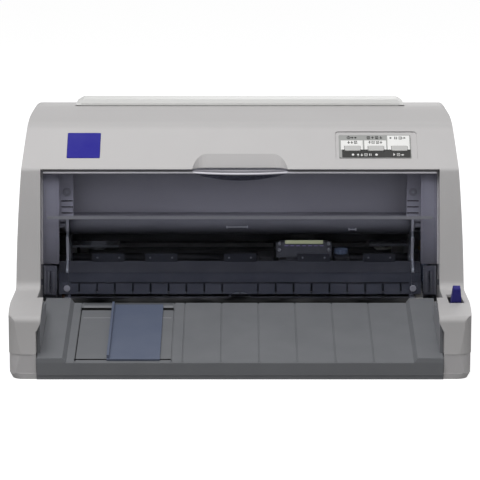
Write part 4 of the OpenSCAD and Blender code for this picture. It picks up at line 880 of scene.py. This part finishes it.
@dataclass
class FrontCoverTrim:
    """The smoked cover's trim: a near-white bead along its top edge as painted highlight, a dark strip in the
    gap above it as painted shadow, an opaque skin on the grip lip for its lit top as painted light, a darker
    lens under the lip as painted shadow, a lighter film at its crease as painted sheen, and its tongues.
    """

    shop: Workshop
    half_w: float = 169.3
    front: float = 134.55
    bead_z: float = 150.1
    bead_r: float = 0.95
    skin_foot: float = 0.9
    lip_r: float = 102.5
    lip_reach: float = 9.0
    lip_gap: float = 0.6
    steps: int = 24
    skin: float = 0.2
    gap_shade: Span = (0.3, 0.5)
    tongues: tuple[Sizes, ...] = (
        (158.0, 162.5, 46.0, 70.4), (163.5, 168.8, 46.0, 70.4), (162.5, 163.5, 66.0, 70.4),
        (162.5, 163.5, 46.0, 47.0))
    tongue_faces: Span = (2.3, 3.4)
    film: Span = (-0.25, -0.02)
    lip_shadow_w: float = 42.0
    lip_shadow_h: float = 6.5
    crease_w: float = 165.7
    crease: Span = (110.4, 113.1)

    def build(self) -> None:
        """Make every piece of the trim."""
        centre = self.front + self.lip_gap + self.lip_r - self.lip_reach
        edge = math.sqrt(self.lip_r ** 2 - (centre - self.front) ** 2)
        lip = [(x, depth(centre - math.sqrt(self.lip_r ** 2 - x * x)))
               for x in (edge * i / self.steps for i in range(-self.steps, self.steps + 1))]
        path = [(-self.half_w, depth(self.front))] + lip + [(self.half_w, depth(self.front))]
        # painted highlight: a near-white bead along the top edge and the lip, standing for the light on the
        # cover's rounded edge
        form = bmesh.new()
        add_tube(form, [(x, y, self.bead_z) for x, y in path], self.bead_r)
        self.shop.piece("cover_top_highlight_bead", "cover_edge_highlight", form, Body.COVER)
        # painted light: an opaque grey skin on the lip's top and front, for the light on them
        form = bmesh.new()
        foot = self.bead_z + self.skin_foot
        add_plate(form, [(x, y - self.skin) for x, y in lip], foot, COVER_TOP_Z + self.skin)
        self.shop.piece("cover_lip_lit_skin", "cover_lip_lit", form, Body.COVER)
        # painted shadow: a dark strip in the gap above the cover's top edge
        gap, thick = self.gap_shade
        self.shop.slabs("cover_top_gap_shade", "gap_shade", [
            brick(x0, x1, self.front - thick, self.front, foot, COVER_TOP_Z)
            for x0, x1 in both_sides(edge + gap, self.half_w)], Body.COVER)
        self.shop.slabs("cover_tongues", "tongue", [
            (x0, x1, along_cover(foot, top, *self.tongue_faces))
            for low, high, foot, top in self.tongues for x0, x1 in both_sides(low, high)], Body.COVER)
        self._lip_shadow()
        # painted sheen: a lighter film along the cover's crease
        self.shop.slabs("cover_crease_sheen", "cover_crease_sheen", [
            (-self.crease_w, self.crease_w, along_cover(*self.crease, *self.film))], Body.COVER)

    def _lip_shadow(self) -> None:
        """Make the darker lens of the cover under the grip lip, a painted shadow of the lip."""
        form = bmesh.new()
        rows = []
        for i in range(self.steps + 1):
            share = 2 * i / self.steps - 1
            low = self.bead_z - 0.4 - self.lip_shadow_h * (1 - share ** 2)
            rows.append([form.verts.new((self.lip_shadow_w * share, depth(y), z))
                         for y, z in along_cover(self.bead_z - 0.2, low, *self.film)])
        bridge(form, rows)
        self.shop.piece("cover_lip_shadow", "smoked_lip_shadow", form, Body.COVER)


@dataclass
class BaseSkirt:
    """The skirt between the case's bottom and the table, hollow over the feet."""

    shop: Workshop
    top: float = 5.2
    low: float = 0.2
    radius: float = 10.0
    half_ws: Point = (188.9, 186.4, 181.0)
    fronts: Point = (1.0, 1.9, 6.0)
    backs: Point = (278.0, 275.6, 272.0)
    tray: Sizes = (166.0, 0.54, 1.8, 3.55)

    def build(self) -> None:
        """Make the ring round the case and the strip under the tray's lip."""
        form = bmesh.new()
        outer, lower, inner = [round_rect(w, depth(y0), depth(y1), self.radius)
                               for w, y0, y1 in zip(self.half_ws, self.fronts, self.backs)]
        rings = [[form.verts.new((x, y, z)) for x, y in outline] for outline, z in (
            (outer, self.top), (lower, self.low), (inner, self.low), (inner, self.top))]
        bridge(form, rings + rings[:1], capped=False)
        self.shop.piece("base_skirt", "case_lower_shaded", form)
        half_w, front, back, top = self.tray
        self.shop.slabs("tray_skirt", "tray", [brick(-half_w, half_w, front, back, self.low, top)])


@dataclass
class RearCoverTrim:
    """The strip along the rear cover's front foot."""

    shop: Workshop
    half_w: float = 141.0
    section: tuple[Span, ...] = ((212.5, 198.05), (213.1, 198.05), (213.1, 200.0), (212.8, 200.0))

    def build(self) -> None:
        """Make the strip."""
        strip = (-self.half_w, self.half_w, self.section)
        self.shop.slabs("rear_cover_foot_strip", "cover_light", [strip], Body.REAR)


@dataclass
class PaperPath:
    """The paper's way painted in shade with near-black plates, the slotted guide bar with painted shade
    behind and under its slots, and the tray's painted highlight and shade.
    """

    shop: Workshop
    half_w: float = 146.5
    shade_black: tuple[Sizes, ...] = ((114.0, 134.3, 41.25, 41.55), (113.6, 114.0, 39.6, 41.55))
    crease: Sizes = (136.7, 137.6, 52.7, 53.3)
    slot_pitch: float = 15.5
    slot_count: int = 9
    slots: tuple[tuple[str, str, Point, Sizes, float, float], ...] = (
        ("cheeks", "guide_bar", (0.62, 1.7, 7.3), (-0.78, 0.78), 137.6, 48.7),
        # painted shade: the backs and feet are black blocks behind and under the slots
        ("backs", "shade_black", (2.1, 0.3, 7.3), (0.0,), 138.8, 48.7),
        ("feet", "shade_black", (0.8, 0.5, 1.6), (0.0,), 134.7, 44.4))
    tray_slots: tuple[Point, ...] = ((6.5, 5.0, 7.6), (100.0, 6.0, 102.5))
    tray_strips: tuple[tuple[str, str, tuple[Sizes, ...]], ...] = (
        ("tray_highlight_lines", "tray_highlight", ((-133.4, -57.2, 102.7, 104.6, 0.03), (-132.6, -58.0, 82.2, 83.4, 0.03))),
        ("tray_shade", "tray_shade", ((-133.4, -57.2, 108.6, 111.6, 0.03),)))
    wall: Span = (163.5, 163.68)
    wall_feet: Span = (9.6, 77.6)
    wall_up: float = 4.4
    wall_top: tuple[Span, ...] = ((77.6, 48.8), (14.2, 48.8), (11.0, 47.4), (9.6, 44.2))

    def build(self) -> None:
        """Make the painted shade of the paper's way and of the guide bar's crease, the slots of the guide bar
        with painted shade behind them, and the tray's painted lines.
        """
        # painted shade: near-black plates over the paper's way
        form = bmesh.new()
        for y0, y1, z0, z1 in self.shade_black:
            add_cube(form, (-self.half_w, depth(y0), z0), (self.half_w, depth(y1), z1))
        self.shop.piece("paper_path_shade", "shade_black", form, bevel_mm=0.1)
        # painted shade: a black line in the guide bar's crease
        self.shop.slabs("guide_crease_shade", "shade_black", [brick(-self.half_w, self.half_w, *self.crease)])
        self._tray()
        pitch, count = self.slot_pitch, self.slot_count
        for part, finish, block, offsets, y, z in self.slots:
            self.shop.grown(f"guide_slot_{part}", finish, self.shop.row,
                            [(d - count * pitch, y, z) for d in offsets],
                            count=2 * count + 1, step=(pitch, 0.0, 0.0), block=block)

    def _tray(self) -> None:
        """Make the painted shade in the tray's slots and groove, the painted highlight lines and painted
        shade strip round them, and the lighter skin of its side walls, painted light on their shaded inner
        faces.
        """
        shade_bricks = []
        # painted shade: black bricks in the slots and a black line in the groove
        for y, drop, back in self.tray_slots:
            top, edge = tray_top(y) - drop, tray_top(back)
            shade_bricks += [brick(-138.0, -54.0, y - 3.5, y + 3.5, top - 1.0, top),
                        brick(-135.4, -56.6, back - 0.12, back, edge - 2.3, edge - 0.05)]
        self.shop.slabs("tray_slot_shade", "shade_black", shade_bricks + [on_tray(-135.3, -134.7, 8.0, 99.0, -0.62)])
        # painted highlight lines and a painted shade strip on the tray
        for name, finish, strips in self.tray_strips:
            self.shop.slabs(name, finish, [on_tray(*strip) for strip in strips])
        # painted light: lighter skins on the shaded inner faces of the walls
        section = [(y, tray_top(y) + self.wall_up) for y in self.wall_feet] + list(self.wall_top)
        self.shop.slabs("tray_wall_lit_skins", "tray_wall_lit", [(*ends, section) for ends in both_sides(*self.wall)])


@dataclass
class Interior:
    """The small parts seen through the smoked cover: posts, lugs, clips and screws, with painted light and
    shade on the cheeks, slots, stay and the plate behind the carriage.
    """

    shop: Workshop
    frame_x: float = 150.0
    half_w: float = 148.4
    post: Sizes = (144.6, 151.0, 153.0, 106.0, 148.0)
    post_slots: Point = (112.1, 117.4, 122.7)
    screw_z: float = 130.6
    stay_bow: Sizes = (160.2, 99.0, 8.5, 7.3)
    bar_ends: tuple[tuple[float, float, tuple[Span, ...]], ...] = (
        (FRAME_OUT, 156.9, ((134.6, 43.5), (135.8, 43.5), (138.6, 53.4), (139.2, 61.6), (147.2, 69.6),
                            (146.0, 70.4), (138.0, 62.0), (137.4, 53.4))),
        (148.9, FRAME_OUT, ((134.6, 43.5), (135.6, 43.5), (138.2, 53.4), (138.6, 61.6), (138.0, 61.6),
                            (137.4, 53.4))))
    cheek_light_and_shade: Sizes = (71.2, 150.0, 7.3, 7.5)
    run_shade_section: tuple[Span, ...] = ((223.6, 72.0), (224.6, 72.0), (226.4, 104.0), (225.4, 104.0))
    edges: tuple[Span, ...] = ((66.0, 91.0), (96.0, 107.5))
    clips: tuple[Point, ...] = ((-12.0, 7.0, 96.6), (95.0, 102.0, 94.4))
    bracket_xs: Sizes = (-114.5, -68.5, 0.0, 64.0, 121.0)
    side_screws: tuple[Span, ...] = ((156, 58), (205, 98), (246, 46), (156, 98))

    def build(self) -> None:
        """Make every part of the interior."""
        self._posts()
        self._ends()
        self._skins()
        self._frame_edges()
        self._clips()
        self._screws()

    def _posts(self) -> None:
        """Make the posts at the ends of the inner wall, with their bosses and three short slots drawn as
        black bricks of painted shade.
        """
        low, *sides = self.post
        self.shop.slabs("side_posts", "post", [brick(*ends, *sides) for ends in both_sides(low, CHEEK_X)],
                        bevel_mm=0.4)
        bosses = bmesh.new()
        for x in across(self.frame_x):
            add_boss(bosses, (x, self.post[1], self.screw_z), 3.6, 1.2, 24)
        self.shop.piece("side_post_bosses", "pale_and_highlight", bosses, bevel_mm=0.3)
        # painted shade: black bricks for the three short slots
        self.shop.slabs("side_post_slot_shade", "shade_black", [brick(x - 5.0, x + 5.0, 150.7, 151.3, z - 0.4, z + 0.4)
                                                      for x in across(self.frame_x) for z in self.post_slots])

    def _ends(self) -> None:
        """Make the ends of the stay and of the guide bar outside the side frames."""
        y, z, outer, inner = self.stay_bow
        bow = arc(y, z, outer, 90, 90, 10) + arc(y, z, inner, 180, -90, 10)
        # painted shade: the stay ends darker towards the bottom
        self.shop.slabs("stay_ends", "stay", [(*ends, bow) for ends in both_sides(FRAME_OUT, CHEEK_X)])
        self.shop.slabs("guide_bar_ends", "guide_bar", [
            (*ends, section) for low, high, section in self.bar_ends for ends in both_sides(low, high)])

    def _skins(self) -> None:
        """Make the pale skins of the opening's cheeks, painted light and painted shade, and the black plate
        behind the carriage's run, painted shade.
        """
        # painted light and shade: pale skins on the shaded cheeks
        self.shop.slabs("cheek_painted_skins", "cheek_light_and_shade", [(*ends, along_cover(*self.cheek_light_and_shade))
                                                 for ends in both_sides(155.9, 169.4)])
        # painted shade: a black plate behind the carriage's run
        self.shop.slabs("carriage_run_shade_plate", "shade_black", [(-108.0, 114.0, self.run_shade_section)])

    def _frame_edges(self) -> None:
        """Make the bright rolled edges and lugs on the fronts of the side frames."""
        lugs = bmesh.new()
        for x in across(self.frame_x):
            add_boss(lugs, (x, 135.2, 48.4), 2.9, 0.8)
        edges = [brick(x - 1.3, x + 1.3, 148.9, 150.2, *ends)
                 for x in across(self.frame_x) for ends in self.edges]
        self.shop.slabs("frame_edges", "zinc_light", edges, bevel_mm=0.35, form=lugs)

    def _clips(self) -> None:
        """Make the wire clips on the cross stay, which also stand as painted highlight dashes, and the pale
        strip along its top, partly a bar and partly the stay's painted highlight.
        """
        # partly painted highlight: pale clips where light dashes lie on the stay
        clips = [brick(x0, x1, 167.0, 168.4, z - 0.5, z + 0.5) for x0, x1, z in self.clips]
        clips += [brick(x, x + 1.0, 167.2, 168.6, z - 1.2, z + 1.2) for x0, x1, z in self.clips
                  for x in (x0, x1 - 1.0)]
        self.shop.slabs("stay_clip_highlights", "zinc_light", clips, bevel_mm=0.2)
        # partly painted highlight: a pale strip on the stay's top and on the posts' feet, where a light line
        # lies
        strips = [brick(-self.half_w, self.half_w, 170.6, 182.0, 105.5, 107.2)]
        strips += [brick(*ends, 150.6, 152.0, 104.6, 105.9) for ends in both_sides(FRAME_OUT, CHEEK_X)]
        self.shop.slabs("stay_top_highlight_strip", "pale_and_highlight", strips, bevel_mm=0.3)

    def _screws(self) -> None:
        """Make the screws of the guide bar, the inner wall and the frames."""
        screws = self.shop.screws
        self.shop.grown("guide_bar_screws", "zinc", screws, [
            (x + d, 145.4, 73.6) for x in self.bracket_xs for d in across(9.5)],
            radius=1.7, height=0.8, cross=0.45, turn=TO_FRONT)
        self.shop.grown("side_post_screws", "zinc_light", screws, [
            (x, 149.8, self.screw_z) for x in across(self.frame_x)],
            radius=2.3, height=1.1, cross=0.6, turn=TO_FRONT)
        for side, name in ((-1, "left"), (1, "right")):
            places = [(side * 151.0, y, z) for y, z in self.side_screws]
            self.shop.grown(f"{name}_frame_screws", "zinc", screws, places,
                            radius=2.2, height=1.0, cross=0.6, turn=(0.0, side * math.pi / 2, 0.0))


@dataclass
class PrintHead:
    """The fine parts of the print head, which ride on the carriage."""

    shop: Workshop
    x: float = 55.7
    face_y: float = 150.2

    def build(self) -> None:
        """Make the head's row of contacts, its ring of wire guides and the cartridge's ridges."""
        shop = self.shop
        shop.grown("head_contacts", "contact_violet", shop.row, [(self.x - 15.3, self.face_y, 83.2)],
                   Body.CARRIAGE, count=7, step=(5.1, 0.0, 0.0), block=(3.5, 0.6, 0.9))
        shop.grown("head_wire_guides", "head", shop.ring, [(self.x, self.face_y, 77.5)], Body.CARRIAGE,
                   count=14, radius=5.6, block=(1.6, 0.5, 0.5), turn=TO_FRONT)
        shop.grown("cartridge_ridges", "black", shop.row, [(self.x - 39.0, 168.0, 72.6)], Body.CARRIAGE,
                   count=9, step=(1.5, 0.0, 0.0), block=(0.7, 20.0, 0.6))


@dataclass
class Electrics:
    """Details of the main board, the power supply, the motors and the sockets."""

    shop: Workshop
    board_top: float = 9.9
    legs: tuple[tuple[str, int, float, Sizes, Span], ...] = (
        ("chip_legs", 14, -89.0, (0, 42, 84, 126), (195.4, 210.6)),
        ("large_chip_legs", 18, -29.0, (0,), (221.4, 258.6)))
    headers: tuple[Sizes, ...] = ((-112, -84, 178, 184), (20, 62, 178, 184), (-80, -44, 240, 246))
    port_x: float = 140.0
    inlet: Span = (-160.0, 34.0)
    inlet_pins: tuple[Span, ...] = ((-7, 0.6), (7, 0.6), (0, 4.4))
    switch_z: float = 62.0
    vents: tuple[tuple[str, Point, float, Point], ...] = (
        ("carriage", (-128.0, 213.0, 101.4), 12.5, UP),
        ("feed", (185.6, 200.35, 71.75), 13.5, (0.0, math.pi / 2, 0.0)))

    def build(self) -> None:
        """Make every detail of the electrics."""
        self._board()
        self._sockets()
        self._motors()
        self._supply()

    def _board(self) -> None:
        """Make the chips' legs, the pin headers and the board's screws."""
        top = self.board_top
        for name, count, start, offsets, ys in self.legs:
            places = [(start + d, y, top + 0.8) for d in offsets for y in ys]
            self.shop.grown(name, "zinc_light", self.shop.row, places,
                            count=count, step=(2.0, 0.0, 0.0), block=(0.6, 1.4, 1.6))
        self.shop.slabs("board_headers", "natural", [brick(*sides, top, top + 5.0) for sides in self.headers],
                        bevel_mm=0.3)
        self.shop.grown("board_header_pins", "brass", self.shop.row, [
            (x0 + 2.0, y0 + 3.0, top + 5.8) for x0, x1, y0, y1 in self.headers],
            count=10, step=(2.54, 0.0, 0.0), block=(0.6, 0.6, 2.4))
        self.shop.grown("board_screws", "zinc", self.shop.screws, [
            (x, y, top) for x in (-118.0, 123.0) for y in (165.0, 248.0)],
            radius=2.6, height=1.4, cross=0.7, turn=UP)

    def _sockets(self) -> None:
        """Make the interface's contacts, the inlet's pins and the switch's box."""
        self.shop.grown("port_contacts", "brass", self.shop.row, [
            (self.port_x - 17.4, 273.6, z) for z in (13.4, 16.0)],
            count=18, step=(2.05, 0.0, 0.0), block=(0.9, 6.0, 0.3))
        x, z = self.inlet
        self.shop.slabs("inlet_pins", "zinc_light", [
            brick(x + dx - 1.15, x + dx + 1.15, 268.2, 277.6, z + dz - 1.65, z + dz + 1.65)
            for dx, dz in self.inlet_pins], bevel_mm=0.4)
        z = self.switch_z
        self.shop.slabs("switch_box", "black", [
            brick(x - 12.4, x + 12.4, 266.8, 268.0, z - 9.0, z + 9.0),
            *(brick(x + d - 0.6, x + d + 0.6, 268.0, 277.4, z - 9.0, z + 9.0) for d in across(11.8)),
            *(brick(x - 11.2, x + 11.2, 268.0, 277.4, z + d - 0.6, z + d + 0.6) for d in across(8.4))])

    def _motors(self) -> None:
        """Make the vents round the motors' caps and the carriage motor's screws."""
        for name, place, radius, turn in self.vents:
            self.shop.grown(f"{name}_motor_vents", "black", self.shop.ring, [place],
                            count=12, radius=radius, block=(5.0, 1.6, 0.5), turn=turn)
        self.shop.grown("carriage_motor_screws", "bright", self.shop.screws, [
            (-128.0 + d, 213.0, 101.3) for d in across(16.0)], radius=1.6, height=1.0, cross=0.5, turn=UP)

    def _supply(self) -> None:
        """Make the transformer's windings and the laminations beside them."""
        self.shop.slabs("transformer_windings", "winding", [brick(-180.9, -156.0, 172.0, 198.0, 14.0, 50.0)],
                        bevel_mm=2.0)
        self.shop.grown("transformer_laminations", "zinc", self.shop.row, [(-168.4, 167.0, 56.1)],
                        count=13, step=(0.0, 3.0, 0.0), block=(22.0, 1.4, 0.8))


@dataclass
class BeltTeeth:
    """The teeth inside the carriage's timing belt."""

    shop: Workshop
    count: int = 116
    pitch: float = 2.1
    runs: Span = (206.75, 219.25)

    def build(self) -> None:
        """Make the teeth of the belt's two straight runs."""
        start = -self.pitch * (self.count - 1) / 2
        self.shop.grown("belt_teeth", "rubber", self.shop.row, [(start, y, 66.0) for y in self.runs],
                        count=self.count, step=(self.pitch, 0.0, 0.0), block=(1.0, 0.3, 5.6))


def main() -> None:
    """Dress the frame, build each sub-assembly in order and set the stage."""
    logging.basicConfig(level=logging.INFO, format="%(message)s")
    shop = Workshop()
    for finish, nodes in DRESSED_NODES.items():
        for node in nodes.split():
            shop.dress_node(node, finish)
    Camera().build()
    Studio().build()
    for part in (ControlPanel, FrontCoverTrim, BaseSkirt, RearCoverTrim, PaperPath, Interior, PrintHead,
                 Electrics, BeltTeeth):
        part(shop).build()


if __name__ == "__main__":
    main()
